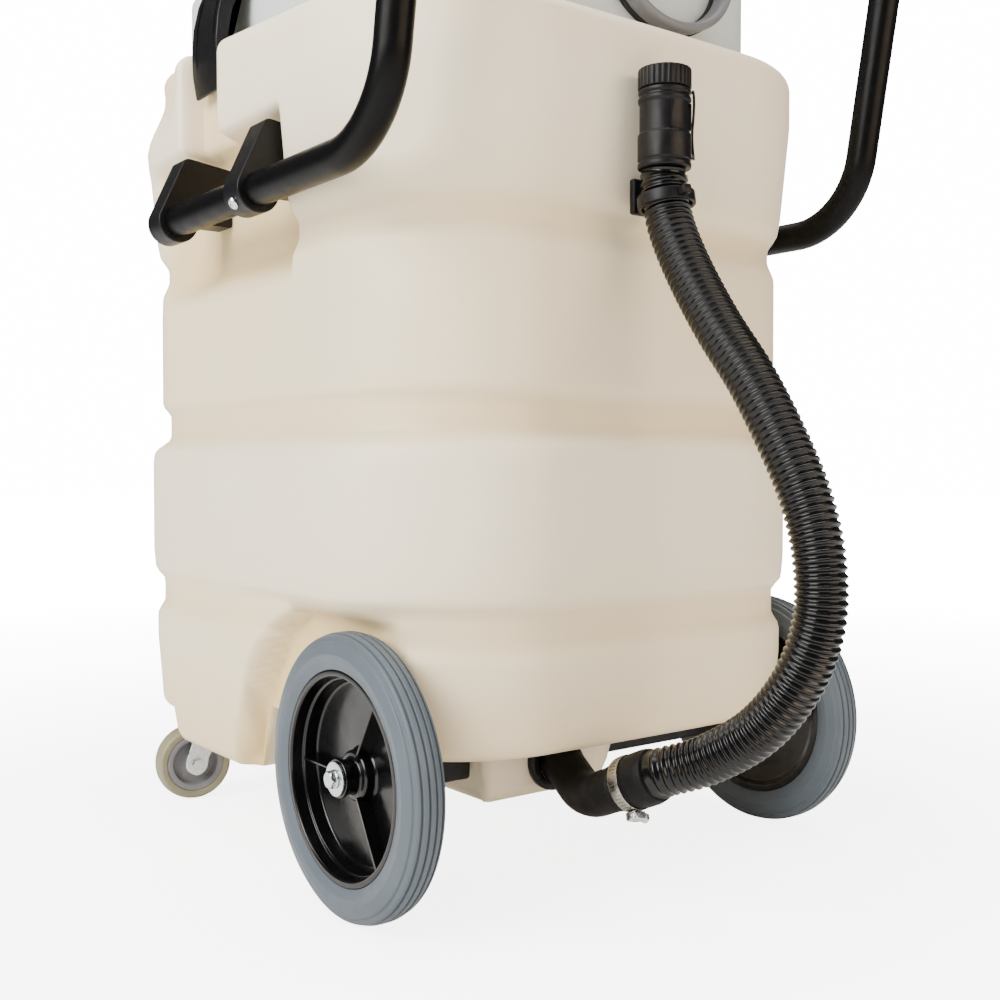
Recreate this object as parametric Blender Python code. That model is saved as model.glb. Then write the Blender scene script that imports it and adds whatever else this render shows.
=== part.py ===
"""A wet-pickup carpet cleaner: a wheeled polyethylene tank with a push handle, a lift-off vacuum
head, and a drain hose that is clipped up the tank's back.

Metres, +Z up, +Y towards the front, +X to the right of someone who stands behind it. The origin
is on the floor under the middle of the machine, without its hose.
"""

import math

import bpy
import numpy as np
from mathutils import Matrix, Vector

GAP = 0.0003  # between pieces that touch

# Tank: a rounded rectangle in plan, with bands, a handle pocket and a latch channel on each side
TANK_HALF_WIDTH = 0.272
TANK_REAR = -0.282
TANK_FRONT = 0.351
REAR_CORNER = 0.155
FRONT_CORNER = 0.120
WALL = 0.005
TANK_BOTTOM = 0.085
REAR_FLOOR = 0.150  # underside of the tank behind the wheel arches' front wall
REAR_LIP = 0.139  # lower edge of the lip along its rear
LIP_WIDTH = 0.014
RIM_REAR = 0.797  # height of the rim at y = RIM_START, from where it climbs to the front
RIM_START = -0.269
RIM_SLOPE = 0.085
SHOULDER = 0.018
BOTTOM_EDGE = 0.012
POCKET_DEPTH = 0.0425
CHANNEL_DEPTH = 0.024
FRONT_TAPER = 0.020  # how far the wall leans in under the rim, in front of the channels
CHANNEL = (0.074, 0.160)  # the latch channel's two sides, along y
POCKET_REAR = -0.058
OPENING_INSET = 0.066
DECK_DROP = 0.010
# Height and outward offset of the bands and grooves round the tank, bottom to top
BANDS = (
    (0.085, -0.012), (0.150, -0.008), (0.200, -0.004), (0.229, -0.004), (0.239, -0.012),
    (0.267, -0.012), (0.275, -0.002), (0.300, 0.000), (0.400, 0.000), (0.412, -0.001),
    (0.424, -0.020), (0.452, -0.020), (0.462, -0.011), (0.588, -0.011), (0.604, -0.018),
    (0.620, -0.018), (0.633, -0.008), (0.650, -0.005), (0.745, 0.004), (0.900, 0.004),
)

# Sump, the deep part of the floor that the drain leaves
SUMP = (-0.143, 0.010)  # along x
SUMP_REAR = -0.204
UNDERCUT_FRONT = 0.040

# Rear wheels
AXLE_Y = -0.174
WHEEL_RADIUS = 0.125
WHEEL_X = 0.262
TYRE_WIDTH = 0.038
TYRE_STEPS = 36  # flats round a tyre: it stands on one of them
HUB_RADIUS = 0.0927
AXLE_RADIUS = 0.008
ARCH_X = 0.235

# Casters
CASTER_X, CASTER_Y = 0.186, 0.281
CASTER_RADIUS = 0.0435
CASTER_STEPS = 24  # flats round its tread
CASTER_TRAIL = 0.028
CASTER_TURN = math.radians(9)  # the wheel trails outwards, and this much towards the front
CASTER_WELL = 0.118  # height of the tank's underside over a caster
CASTER_WELL_RADIUS = 0.062

# Handle
TUBE_RADIUS = 0.0155
TUBE_X = 0.290
TUBE_Z = 0.648
TUBE_FRONT = 0.156
TUBE_CORNER_Y = -0.273
HANDLE_TOP = 0.9845
HANDLE_LEAN = 0.170  # backwards, per metre up
BRACKET_WIDTH = 0.032
BRACKET_FRONTS = {"front": 0.164, "rear": -0.022}

# Head
HEAD_INSET = 0.046
HEAD_FLOOR = 0.856
HEAD_TOP = 0.930
COVER_TOP = 0.998
LATCH_PIVOT_X, LATCH_PIVOT_Z = 0.240, 0.900
ROCKER_TILT = 9  # degrees, in its off position
CHANNEL_Y = 0.120

# Drain
DRAIN_X, DRAIN_Z = -0.064, 0.119
HOSE_RADIUS = 0.021
ELBOW_ROUTE = (
    (-0.064, -0.2046, 0.1190), (-0.064, -0.2150, 0.1188), (-0.0660, -0.2320, 0.1100),
    (-0.0700, -0.2540, 0.0995), (-0.0740, -0.2760, 0.1000), (-0.0767, -0.2970, 0.1080),
)
LOWER_CUFF = (Vector((-0.0755, -0.3150, 0.1160)), Vector((-0.0700, -0.3510, 0.1325)))  # its two ends
HOSE_ROUTE = (  # between the straight 10 mm that the hose keeps beside each cuff
    (-0.0686, -0.3600, 0.1366), (-0.052, -0.393, 0.151), (-0.041, -0.438, 0.182),
    (-0.034, -0.471, 0.225), (-0.030, -0.487, 0.272), (-0.029, -0.486, 0.321),
    (-0.028, -0.472, 0.368), (-0.028, -0.448, 0.414), (-0.027, -0.415, 0.464),
    (-0.027, -0.377, 0.512), (-0.026, -0.342, 0.563), (-0.026, -0.320, 0.606),
    (-0.026, -0.3125, 0.6420),
)
HOSE_TOP = (-0.026, -0.3125, 0.6536)


def clear_scene():
    for item in list(bpy.data.objects):
        bpy.data.objects.remove(item, do_unlink=True)


def finish(name, colour, roughness, metallic=0.0):
    """A plain material from its colour, roughness and metallic value."""
    made = bpy.data.materials.new(name)
    made.use_nodes = True
    shader = made.node_tree.nodes["Principled BSDF"]
    shader.inputs["Base Color"].default_value = (*colour, 1.0)
    shader.inputs["Roughness"].default_value = roughness
    shader.inputs["Metallic"].default_value = metallic
    return made


def place(item, material, parent=None):
    """Gives an object its material and its parent, and puts it in the scene."""
    bpy.context.scene.collection.objects.link(item)
    item.data.materials.append(material)
    if parent:
        item.parent = parent
    return item


def add_mesh(name, points, faces, material, parent=None):
    """An object from points and faces, smooth except along its sharp edges."""
    mesh = bpy.data.meshes.new(name)
    mesh.from_pydata([tuple(p) for p in points], [], [tuple(f) for f in faces])
    mesh.validate()
    mesh.shade_smooth()
    mesh.set_sharp_from_angle(angle=math.radians(35))
    return place(bpy.data.objects.new(name, mesh), material, parent)


def empty_at(name, location, turn=(0, 0, 0), parent=None):
    item = bpy.data.objects.new(name, None)
    item.location = location
    item.rotation_euler = turn
    item.parent = parent
    bpy.context.scene.collection.objects.link(item)
    return item


def empty_along(name, line, index):
    """An empty on a line of points, with its own +Z along the line."""
    item = empty_at(name, line[index])
    item.rotation_mode = "QUATERNION"
    item.rotation_quaternion = Vector(line[index + 1] - line[index - 1]).to_track_quat("Z", "Y")
    return item


def ring_faces(count, size, looped):
    """Quads between rings of the same size, stacked in order; looped joins the last to the first."""
    faces = []
    for k in range(count if looped else count - 1):
        low, high = k * size, (k + 1) % count * size
        for i in range(size):
            j = (i + 1) % size
            faces.append((low + i, low + j, high + j, high + i))
    return faces


def loft(name, rings, material, parent=None, looped=False):
    """A body through rings that run anticlockwise seen from their end: capped, or a closed loop."""
    rings = [np.asarray(ring, float) for ring in rings]
    size = len(rings[0])
    faces = ring_faces(len(rings), size, looped)
    if not looped:
        faces.append(tuple(range(size))[::-1])
        faces.append(tuple((len(rings) - 1) * size + i for i in range(size)))
    return add_mesh(name, np.concatenate(rings), faces, material, parent)


def circle(radius, height, steps, centre=(0, 0), phase=0.0):
    """Points round a circle; phase turns it by a part of the step between two points."""
    turn = (np.arange(steps) + phase) * 2 * math.pi / steps
    return np.stack(
        [centre[0] + radius * np.cos(turn), centre[1] + radius * np.sin(turn), turn * 0 + height], 1
    )


def turned(name, profile, steps, material, parent=None, along="Z", at=(0, 0, 0), phase=0.0):
    """A turned body. The profile's (radius, height) pairs run outside upwards; when its first and
    last radius are over zero, it is closed back to the start as a ring."""
    axes = {
        "Z": Matrix.Identity(3),
        "X": Matrix(((0, 0, 1), (1, 0, 0), (0, 1, 0))),
        "Y": Matrix(((1, 0, 0), (0, 0, 1), (0, -1, 0))),
    }
    looped = profile[0][0] > 0
    profile = profile if looped else profile[1:-1]
    turn = np.array(axes[along]).T
    rings = [circle(r, h, steps, phase=phase) @ turn + np.array(at) for r, h in profile]
    return loft(name, rings, material, parent, looped)


def prism(name, outline, low, high, material, parent=None, along="Z"):
    """An outline, anticlockwise in its plane, pushed along an axis from low to high."""
    order = {"Z": (0, 1, 2), "X": (2, 0, 1), "Y": (1, 2, 0)}[along]
    rings = []
    for level in (low, high):
        flat = np.array([(a, b, level) for a, b in outline], float)
        rings.append(flat[:, order])
    return loft(name, rings, material, parent)


def box(name, low, high, material, parent=None):
    outline = ((low[0], low[1]), (high[0], low[1]), (high[0], high[1]), (low[0], high[1]))
    return prism(name, outline, low[2], high[2], material, parent)


def cut(item, cutter):
    """Takes the cutter's volume out of an object; the cutter stays as a guide."""
    cutter.hide_render = True
    cutter.display_type = "WIRE"
    step = item.modifiers.new("cut_" + cutter.name, "BOOLEAN")
    step.operation = "DIFFERENCE"
    step.solver = "EXACT"
    step.object = cutter
    return item


def smooth_route(route, step):
    """Points about step apart on a smooth curve through a route (a Catmull-Rom curve)."""
    p = np.array(route, float)
    p = np.concatenate([[2 * p[0] - p[1]], p, [2 * p[-1] - p[-2]]])
    t = np.linspace(0, 1, 24, endpoint=False)[:, None]
    pieces = []
    for a, b, c, d in zip(p[:-3], p[1:-2], p[2:-1], p[3:]):
        bend = (2 * a - 5 * b + 4 * c - d) * t**2 + (3 * b - a - 3 * c + d) * t**3
        pieces.append(0.5 * (2 * b + (c - a) * t + bend))
    fine = np.concatenate(pieces + [p[-2:-1]])
    along = np.concatenate([[0], np.cumsum(np.linalg.norm(np.diff(fine, axis=0), axis=1))])
    count = max(2, round(along[-1] / step) + 1)
    at = np.linspace(0, along[-1], count)
    return np.stack([np.interp(at, along, fine[:, k]) for k in range(3)], 1)


def tube(name, line, radius, material, parent=None, resolution=3):
    """A round tube with filled ends along a line of points."""
    curve = bpy.data.curves.new(name, "CURVE")
    curve.dimensions = "3D"
    spline = curve.splines.new("POLY")
    spline.points.add(len(line) - 1)
    spline.points.foreach_set("co", np.column_stack([line, np.ones(len(line))]).ravel())
    curve.bevel_depth = radius
    curve.bevel_resolution = resolution
    curve.use_fill_caps = True
    return place(bpy.data.objects.new(name, curve), material, parent)


def soft_step(value, at, width):
    """0 below at, 1 above it, turning smoothly over width."""
    t = np.clip((value - at) / width + 0.5, 0, 1)
    return t * t * (3 - 2 * t)


# ---------------------------------------------------------------- tank


def plan_columns(side_stations, rear_count, front_count, rear_steps, front_steps):
    """The tank's plan, anticlockwise from above: base points and outward normals."""
    rear_x, rear_y = TANK_HALF_WIDTH - REAR_CORNER, TANK_REAR + REAR_CORNER
    front_x, front_y = TANK_HALF_WIDTH - FRONT_CORNER, TANK_FRONT - FRONT_CORNER
    half = [(rear_x * (k + 0.5) / rear_count, TANK_REAR, 0, -1) for k in range(rear_count)]
    for t in np.linspace(-math.pi / 2, 0, rear_steps + 1):
        c, s = math.cos(t), math.sin(t)
        half.append((rear_x + REAR_CORNER * c, rear_y + REAR_CORNER * s, c, s))
    half += [(TANK_HALF_WIDTH, y, 1, 0) for y in side_stations]
    for t in np.linspace(0, math.pi / 2, front_steps + 1):
        c, s = math.cos(t), math.sin(t)
        half.append((front_x + FRONT_CORNER * c, front_y + FRONT_CORNER * s, c, s))
    half += [(front_x * (k + 0.5) / front_count, TANK_FRONT, 0, 1) for k in reversed(range(front_count))]
    columns = np.array(half + [(-x, y, -nx, ny) for x, y, nx, ny in reversed(half)])
    return columns[:, :2], columns[:, 2:]


def rim_height(y):
    return RIM_REAR + RIM_SLOPE * (y - RIM_START)


def wall_offset(y, z, side, grow):
    """How far the wall stands out from the plan: bands, pocket and channel, all widened by grow."""
    heights, offsets = np.array(BANDS).T
    offset = np.min([np.interp(z + shift, heights, offsets) for shift in (-grow, 0, grow)], axis=0)
    offset = offset - FRONT_TAPER * soft_step(z, 0.7725, 0.055) * soft_step(y, 0.1985, 0.065)
    channel = soft_step(y, CHANNEL[0] - grow, 0.012) * soft_step(-y, -CHANNEL[1] - grow, 0.012)
    channel = channel * soft_step(z, 0.700, 0.012) * side
    offset = offset * (1 - channel) - CHANNEL_DEPTH * channel
    pocket = soft_step(y, POCKET_REAR - grow, 0.006) * soft_step(-y, -0.250 - grow, 0.080)
    pocket = pocket * soft_step(z, 0.585 - grow, 0.050) * soft_step(-z, -0.722 - grow, 0.012) * side
    return offset * (1 - pocket) - POCKET_DEPTH * pocket


SIDE_STATIONS = (-0.061, -0.055, 0.068, 0.080, 0.154, 0.166, 0.200)
OUTER_HEIGHTS = (
    0.229, 0.239, 0.267, 0.275, 0.400, 0.412, 0.424, 0.452, 0.462, 0.560, 0.588, 0.604, 0.620, 0.633,
    0.694, 0.706, 0.716, 0.728, 0.745,
)
INNER_HEIGHTS = (
    0.155, 0.224, 0.234, 0.272, 0.280, 0.407, 0.419, 0.457, 0.467, 0.555, 0.583, 0.599, 0.640, 0.711,
    0.733,
)


def tank_ring(base, normal, height, inset, recessed, grow):
    """One ring round the tank, at a height for each column and inset from its wall."""
    side = (np.abs(normal[:, 0]) > 0.7).astype(float)
    offset = wall_offset(base[:, 1], height, side * recessed, grow) - inset
    flat = base + normal * offset[:, None]
    return np.column_stack([flat, height])


def rim_ring(base, normal, inset, lift, recessed, grow):
    """A ring at a lift over the rim's slanting plane."""
    ring = tank_ring(base, normal, np.full(len(base), 0.8), inset, recessed, grow)
    ring[:, 2] = rim_height(ring[:, 1]) + lift
    return ring


def arch_cutter(name, side, grow, material):
    """The space round a rear wheel, grown on the sides that face the tank."""
    front = ((0.068, -0.01), (0.066, 0.085), (0.052, 0.130), (0.022, 0.190), (-0.015, 0.238), (-0.060, 0.258))
    outline = [(-0.40, -0.01)] + [(y + grow, z + grow) for y, z in front] + [(-0.40, 0.258 + grow)]
    low, high = sorted((side * (ARCH_X - grow), side * 0.35))
    return prism(name, outline, low, high, material, along="X")


def make_tank(material):
    """The tank shell: walls, rim, recessed deck and cavity, then the cuts in its underside."""
    base, normal = plan_columns(SIDE_STATIONS, 1, 1, 4, 3)
    flat = np.zeros(len(base))
    rings = [tank_ring(base, normal, flat + TANK_BOTTOM, BOTTOM_EDGE, 1, 0)]
    rings.append(tank_ring(base, normal, flat + TANK_BOTTOM + BOTTOM_EDGE, 0, 1, 0))
    for z in OUTER_HEIGHTS:
        rings.append(tank_ring(base, normal, flat + z, 0, 1, 0))
    for turn in (0, 45, 90):
        c, s = math.cos(math.radians(turn)), math.sin(math.radians(turn))
        rings.append(rim_ring(base, normal, SHOULDER * (1 - c), SHOULDER * (s - 1), 1, 0))
    rings.append(rim_ring(base, normal, SHOULDER + 0.002, 0, 1, 0))
    rings.append(rim_ring(base, normal, SHOULDER + 0.0034, -DECK_DROP, 1, 0))
    rings.append(rim_ring(base, normal, OPENING_INSET, -DECK_DROP, 0, 0))
    tank = loft("tank_shell", rings, material)

    inner = [tank_ring(base, normal, flat + z, WALL, 1, WALL) for z in INNER_HEIGHTS]
    inner.append(rim_ring(base, normal, WALL, -0.032, 1, WALL))
    inner.append(rim_ring(base, normal, SHOULDER + 0.012, -DECK_DROP - WALL, 1, WALL))
    inner.append(rim_ring(base, normal, OPENING_INSET, -DECK_DROP - WALL, 0, 0))
    inner.append(rim_ring(base, normal, OPENING_INSET, 0.010, 0, 0))
    cavity = loft("cavity", inner, material)
    for side in (-1, 1):
        cut(cavity, arch_cutter(f"cavity_arch{side}", side, WALL, material))
        cut(tank, arch_cutter(f"arch{side}", side, 0, material))
    cut(tank, cavity)

    left, right = SUMP
    undercut = (
        (-0.4, -0.4), (0.4, -0.4), (0.4, UNDERCUT_FRONT), (right, UNDERCUT_FRONT), (right, SUMP_REAR),
        (left, SUMP_REAR), (left, UNDERCUT_FRONT), (-0.4, UNDERCUT_FRONT),
    )
    cut(tank, prism("undercut", undercut, -0.01, REAR_LIP, material))
    arc_x, arc_y = TANK_HALF_WIDTH - REAR_CORNER, TANK_REAR + REAR_CORNER
    radius = REAR_CORNER - 0.008 - LIP_WIDTH
    lip = [(0.26, UNDERCUT_FRONT), (0.26, -0.207)]
    for t in np.linspace(math.asin((-0.207 - arc_y) / radius), -math.pi / 2, 6):
        lip.append((arc_x + radius * math.cos(t), arc_y + radius * math.sin(t)))
    mirrored = [(-x, y) for x, y in reversed(lip)]
    notch = [(left, UNDERCUT_FRONT), (left, SUMP_REAR), (right, SUMP_REAR), (right, UNDERCUT_FRONT)]
    recess = (lip + mirrored + notch)[::-1]
    cut(tank, prism("rear_recess", recess, REAR_LIP - 0.002, REAR_FLOOR, material))
    front_cavity = (
        (-0.220, UNDERCUT_FRONT + 0.022), (0.220, UNDERCUT_FRONT + 0.022), (0.235, 0.195), (0.110, 0.225),
        (0.110, 0.330), (-0.110, 0.330), (-0.110, 0.225), (-0.235, 0.195),
    )
    low, high = TANK_BOTTOM + WALL, REAR_FLOOR + 2 * WALL
    cut(tank, prism("front_cavity", front_cavity, low, high, material))
    sump = box("sump_cavity", (left + WALL, SUMP_REAR + WALL, low), (right - WALL, 0.08, high), material)
    cut(tank, sump)
    for side in (-1, 1):
        turns = np.linspace(math.pi, 1.5 * math.pi, 7)
        well = [(0.4, CASTER_Y - CASTER_WELL_RADIUS), (0.4, 0.45), (CASTER_X - CASTER_WELL_RADIUS, 0.45)]
        for t in turns:
            across, along = CASTER_WELL_RADIUS * math.cos(t), CASTER_WELL_RADIUS * math.sin(t)
            well.append((CASTER_X + across, CASTER_Y + along))
        well = [(side * x, y) for x, y in well[::side]]
        cut(tank, prism(f"well{side}", well, 0.02, CASTER_WELL, material))
    return tank


# ---------------------------------------------------------------- drain and hose


def make_drain(black, rubber, steel):
    """Flange, elbow, clamp, hose, end cuff, cap and tether, and the clip that holds the hose up."""
    turned(
        "drain_flange", ((0.0220, 0), (0.0305, 0), (0.0305, 0.006), (0.0285, 0.008), (0.0220, 0.008)),
        24, black, along="Y", at=(DRAIN_X, SUMP_REAR - GAP - 0.008, DRAIN_Z),
    )
    low, high = LOWER_CUFF
    toward = (high - low).normalized()
    elbow = smooth_route(ELBOW_ROUTE, 0.010)
    tube("drain_elbow", np.vstack([elbow, low - toward * 0.010, low - toward * GAP]), 0.0205, rubber)
    holder = empty_at("cuff_place", low)
    holder.rotation_mode = "QUATERNION"
    holder.rotation_quaternion = toward.to_track_quat("Z", "Y")
    length = (high - low).length
    cuff = ((0, GAP), (0.0226, GAP), (0.0232, 0.0015), (0.0232, 0.018), (0.0240, 0.021), (0.0240, 0.030),
            (0.0225, length - GAP), (0, length - GAP))
    turned("hose_cuff_lower", cuff, 20, rubber, holder)
    hose = smooth_route(HOSE_ROUTE, 0.026)
    tube("drain_hose", np.vstack([high, hose, HOSE_TOP]), HOSE_RADIUS, black)

    band = ((0.0238, 0.0040), (0.0248, 0.0040), (0.0248, 0.0150), (0.0238, 0.0150))
    turned("hose_clamp", band, 20, steel, holder)
    screw = ((0, 0), (0.0045, 0), (0.0045, 0.004), (0.0032, 0.005), (0.0032, 0.017), (0, 0.017))
    turned("clamp_screw", screw, 12, steel, holder, along="X", at=(-0.006, 0.0300, 0.0095))

    end = empty_at("hose_end", HOSE_TOP)
    cuff_profile = (
        (0, 0.0003), (0.0237, 0.0003), (0.0237, 0.0300), (0.0221, 0.0315), (0.0221, 0.0575),
        (0.0234, 0.0590), (0.0234, 0.0690), (0.0188, 0.0690), (0.0188, 0.0820), (0.0150, 0.0820),
        (0.0150, 0.0300), (0, 0.0300),
    )
    turned("hose_cuff_upper", cuff_profile, 20, black, end)
    cap = (
        (0, 0.0840), (0.0194, 0.0840), (0.0194, 0.0697), (0.0236, 0.0697), (0.0236, 0.0860),
        (0.0222, 0.0880), (0, 0.0880),
    )
    turned("drain_cap", cap, 20, black, end)
    loop = []
    for turn, height in ((-66, 0.0640), (-60, 0.0655), (-48, 0.058), (-34, 0.046), (-26, 0.034),
                         (-28, 0.022), (-36, 0.012), (-50, 0.0085), (-62, 0.0080)):
        reach = 0.0256
        loop.append((reach * math.cos(math.radians(turn)), reach * math.sin(math.radians(turn)), height))
    tube("cap_tether", smooth_route(loop, 0.006), 0.0012, black, end, 2)

    low, high = (-0.036, -0.2866, 0.6190), (-0.004, -0.2778, 0.6510)
    box("clip_base", low, high, black)
    strap = ((0.0226, -0.0055), (0.0262, -0.0055), (0.0262, 0.0055), (0.0226, 0.0055))
    fine = smooth_route(HOSE_ROUTE, 0.004)
    at_clip = int(np.argmin(np.abs(fine[:, 2] - 0.6265)))
    turned("clip_strap", strap, 20, black, empty_along("strap_place", fine, at_clip))


# ---------------------------------------------------------------- handle


def corner_line(corners, radii, steps):
    """A line through corners, each rounded by an arc of its radius."""
    line = [Vector(corners[0])]
    for before, at, after, radius in zip(corners, corners[1:], corners[2:], radii):
        before, at, after = Vector(before), Vector(at), Vector(after)
        a, b = (before - at).normalized(), (after - at).normalized()
        half = a.angle(b) / 2
        centre = at + (a + b).normalized() * radius / math.sin(half)
        start = at + a * radius / math.tan(half) - centre
        end = at + b * radius / math.tan(half) - centre
        for k in range(steps + 1):
            line.append(centre + start.slerp(end, k / steps).normalized() * radius)
    line.append(Vector(corners[-1]))
    return np.array([tuple(p) for p in line])


def make_handle(tube_black, bracket_black, zinc):
    """The bent tube, the four clamps that hold it in the tank's pockets, and their screws."""
    top_y = TUBE_CORNER_Y - HANDLE_LEAN * (HANDLE_TOP - TUBE_Z)
    half = [(TUBE_X, TUBE_FRONT, TUBE_Z), (TUBE_X, TUBE_CORNER_Y, TUBE_Z), (TUBE_X, top_y, HANDLE_TOP)]
    corners = half + [(-x, y, z) for x, y, z in reversed(half)]
    line = corner_line(corners, (0.085, 0.070, 0.070, 0.085), 5)
    tube("handle_tube", line, TUBE_RADIUS, tube_black, resolution=3)
    arc = [math.radians(t) for t in np.linspace(-180, 18, 10)]
    ring = [(TUBE_X + 0.0215 * math.cos(t), TUBE_Z + 0.0215 * math.sin(t)) for t in arc]
    outline = ring + [(0.2835, 0.7145), (0.2790, 0.7155), (0.2298, 0.7085), (0.2298, 0.6480)]
    for word, side in (("left", -1), ("right", 1)):
        flat = [(side * x, z) for x, z in outline]
        if side > 0:
            flat = flat[::-1]
        for end, front in BRACKET_FRONTS.items():
            name = f"bracket_{word}_{end}"
            swapped = [(z, x) for x, z in flat]
            item = prism(name, swapped, front - BRACKET_WIDTH, front, bracket_black, along="Y")
            bore = circle(TUBE_RADIUS + 2 * GAP, 0, 16, (TUBE_Z, side * TUBE_X))[:, :2]
            low = front - BRACKET_WIDTH - 0.01
            cut(item, prism("bore_" + name, bore, low, front + 0.01, bracket_black, along="Y"))
        lean = math.radians(-35)
        seat = empty_at("screw_place_" + word, (
            side * (TUBE_X + 0.0219 * math.cos(lean)),
            BRACKET_FRONTS["rear"] - BRACKET_WIDTH / 2,
            TUBE_Z + 0.0219 * math.sin(lean),
        ), (0, math.pi / 2 - lean if side > 0 else -math.pi / 2 + lean, 0))
        head = ((0, 0), (0.0060, 0), (0.0060, 0.0012), (0.0042, 0.0028), (0, 0.0032))
        turned("bracket_screw_" + word, head, 16, zinc, seat)


# ---------------------------------------------------------------- rear wheels


def make_wheels(black, tyre_grey, hub_black, steel, zinc):
    """Axle blocks under the tank, their stub axles, and the two spoked wheels."""
    block = (
        (-0.030, 0.1497), (-0.030, 0.1455), (-0.018, 0.1440), (-0.017, 0.1110), (-0.014, 0.1080),
        (0.014, 0.1080), (0.017, 0.1110), (0.018, 0.1440), (0.030, 0.1455), (0.030, 0.1497),
    )  # y from the axle, z
    outline = [(AXLE_Y + y, z) for y, z in block]
    spans = {"left": (-0.232, -0.150), "right": (0.018, 0.232)}
    width = TYRE_WIDTH / 2
    for word, side in (("left", -1), ("right", 1)):
        low, high = spans[word]
        item = prism("axle_bracket_" + word, outline, low, high, black, along="X")
        hole = circle(AXLE_RADIUS + 2 * GAP, 0, 16, (AXLE_Y, WHEEL_RADIUS))[:, :2]
        cut(item, prism("axle_hole_" + word, hole, low - 0.01, high + 0.01, black, along="X"))
        centre = (side * WHEEL_X, AXLE_Y, WHEEL_RADIUS)
        facing = (0, math.pi / 2 if side > 0 else -math.pi / 2, 0)
        wheel = empty_at("wheel_place_" + word, centre, facing)
        round_out = 1 / math.cos(math.pi / TYRE_STEPS)
        tyre = (
            (0.0930 * round_out, -width + 0.004), (0.1120, -width), (0.1205, -width + 0.006),
            (WHEEL_RADIUS * round_out, -width + 0.012), (WHEEL_RADIUS * round_out, width - 0.012),
            (0.1205, width - 0.006), (0.1120, width), (0.0930 * round_out, width - 0.004),
        )
        turned("wheel_tyre_" + word, tyre, TYRE_STEPS, tyre_grey, wheel, phase=0.5)
        bore = AXLE_RADIUS + 2 * GAP
        hub = (
            (bore, -0.0180), (0.0220, -0.0180), (0.0240, -0.0130), (0.0820, -0.0130), (0.0860, -0.0150),
            (HUB_RADIUS, -0.0150), (HUB_RADIUS, 0.0150), (0.0870, 0.0150), (0.0820, -0.0090),
            (0.0260, -0.0090), (0.0185, 0.0165), (bore, 0.0165),
        )
        turned("wheel_hub_" + word, hub, 30, hub_black, wheel)
        inner = WHEEL_X - (high - 0.06 if side > 0 else -low - 0.06)
        turned(
            "stub_axle_" + word, ((0, -inner), (AXLE_RADIUS, -inner), (AXLE_RADIUS, 0.0168), (0, 0.0168)),
            16, steel, wheel,
        )
        washer = ((0, 0.0171), (0.0150, 0.0171), (0.0150, 0.0191), (0, 0.0191))
        turned("wheel_washer_" + word, washer, 20, zinc, wheel)
        head = ((0, 0.0194), (0.0081, 0.0194), (0.0081, 0.0255), (0, 0.0255))
        turned("wheel_bolt_" + word, head, 6, zinc, wheel)


# ---------------------------------------------------------------- casters


def fork_rings():
    """The caster fork's strip: from one axle tip, over the wheel, to the other axle tip."""
    half, thick, low, high = 0.0180, 0.0030, 0.0300, 0.1005
    legs = (  # height, middle of the strip along the trail, half width
        (low, CASTER_TRAIL, 0.0070), (low + 0.006, CASTER_TRAIL, 0.0115),
        (0.0500, CASTER_TRAIL - 0.002, 0.0125), (0.0900, 0.006, 0.0200),
    )
    rings = []
    for z, middle, wide in legs:
        inner, outer = half, half + thick
        rings.append([(middle - wide, inner, z), (middle + wide, inner, z),
                      (middle + wide, outer, z), (middle - wide, outer, z)])
    for sign in (1, -1):
        rings.append([(-0.018, sign * half, high), (0.026, sign * half, high),
                      (0.026, sign * (half + thick), high + thick),
                      (-0.018, sign * (half + thick), high + thick)])
    for z, middle, wide in reversed(legs):
        inner, outer = -half, -half - thick
        rings.append([(middle - wide, inner, z), (middle + wide, inner, z),
                      (middle + wide, outer, z), (middle - wide, outer, z)])
    return rings


def make_casters(zinc, core_grey, tread_khaki):
    """Two swivel casters: top plate with its race, fork, wheel core, tread and axle bolt."""
    for word, side in (("left", -1), ("right", 1)):
        top = CASTER_WELL - GAP
        plate = ((0, top - 0.0139), (0.0200, top - 0.0139), (0.0200, top - 0.003),
                 (0.0300, top - 0.003), (0.0300, top), (0, top))
        turned("caster_plate_" + word, plate, 20, zinc, at=(side * CASTER_X, CASTER_Y, 0))
        turn = math.pi - CASTER_TURN if side < 0 else CASTER_TURN
        swivel = empty_at("caster_place_" + word, (side * CASTER_X, CASTER_Y, 0), (0, 0, turn))
        fork = loft("caster_fork_" + word, fork_rings(), zinc, swivel)
        axle = empty_at("caster_axle_place_" + word, (CASTER_TRAIL, 0, CASTER_RADIUS), parent=swivel)
        hole = ((0, -0.03), (0.0042, -0.03), (0.0042, 0.03), (0, 0.03))
        cut(fork, turned("fork_hole_" + word, hole, 12, zinc, axle, along="Y"))
        core = ((0.0044, -0.0150), (0.0110, -0.0150), (0.0110, -0.0050), (0.0250, -0.0050),
                (0.0265, -0.0135), (0.0325, -0.0135), (0.0325, 0.0135), (0.0265, 0.0135),
                (0.0250, 0.0050), (0.0110, 0.0050), (0.0110, 0.0150), (0.0044, 0.0150))
        turned("caster_core_" + word, core, 16, core_grey, axle, along="Y", phase=0.5)
        outer = CASTER_RADIUS / math.cos(math.pi / CASTER_STEPS)
        tread = ((0.0338, -0.0145), (0.0400, -0.0145), (outer, -0.0080), (outer, 0.0080),
                 (0.0400, 0.0145), (0.0338, 0.0145))
        turned("caster_tread_" + word, tread, CASTER_STEPS, tread_khaki, axle, along="Y", phase=0.5)
        bolt = ((0, -0.0265), (0.0065, -0.0265), (0.0065, -0.0213), (0.0040, -0.0213),
                (0.0040, 0.0213), (0.0065, 0.0213), (0.0065, 0.0265), (0, 0.0265))
        turned("caster_axle_" + word, bolt, 12, zinc, axle, along="Y")


# ---------------------------------------------------------------- head


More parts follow.
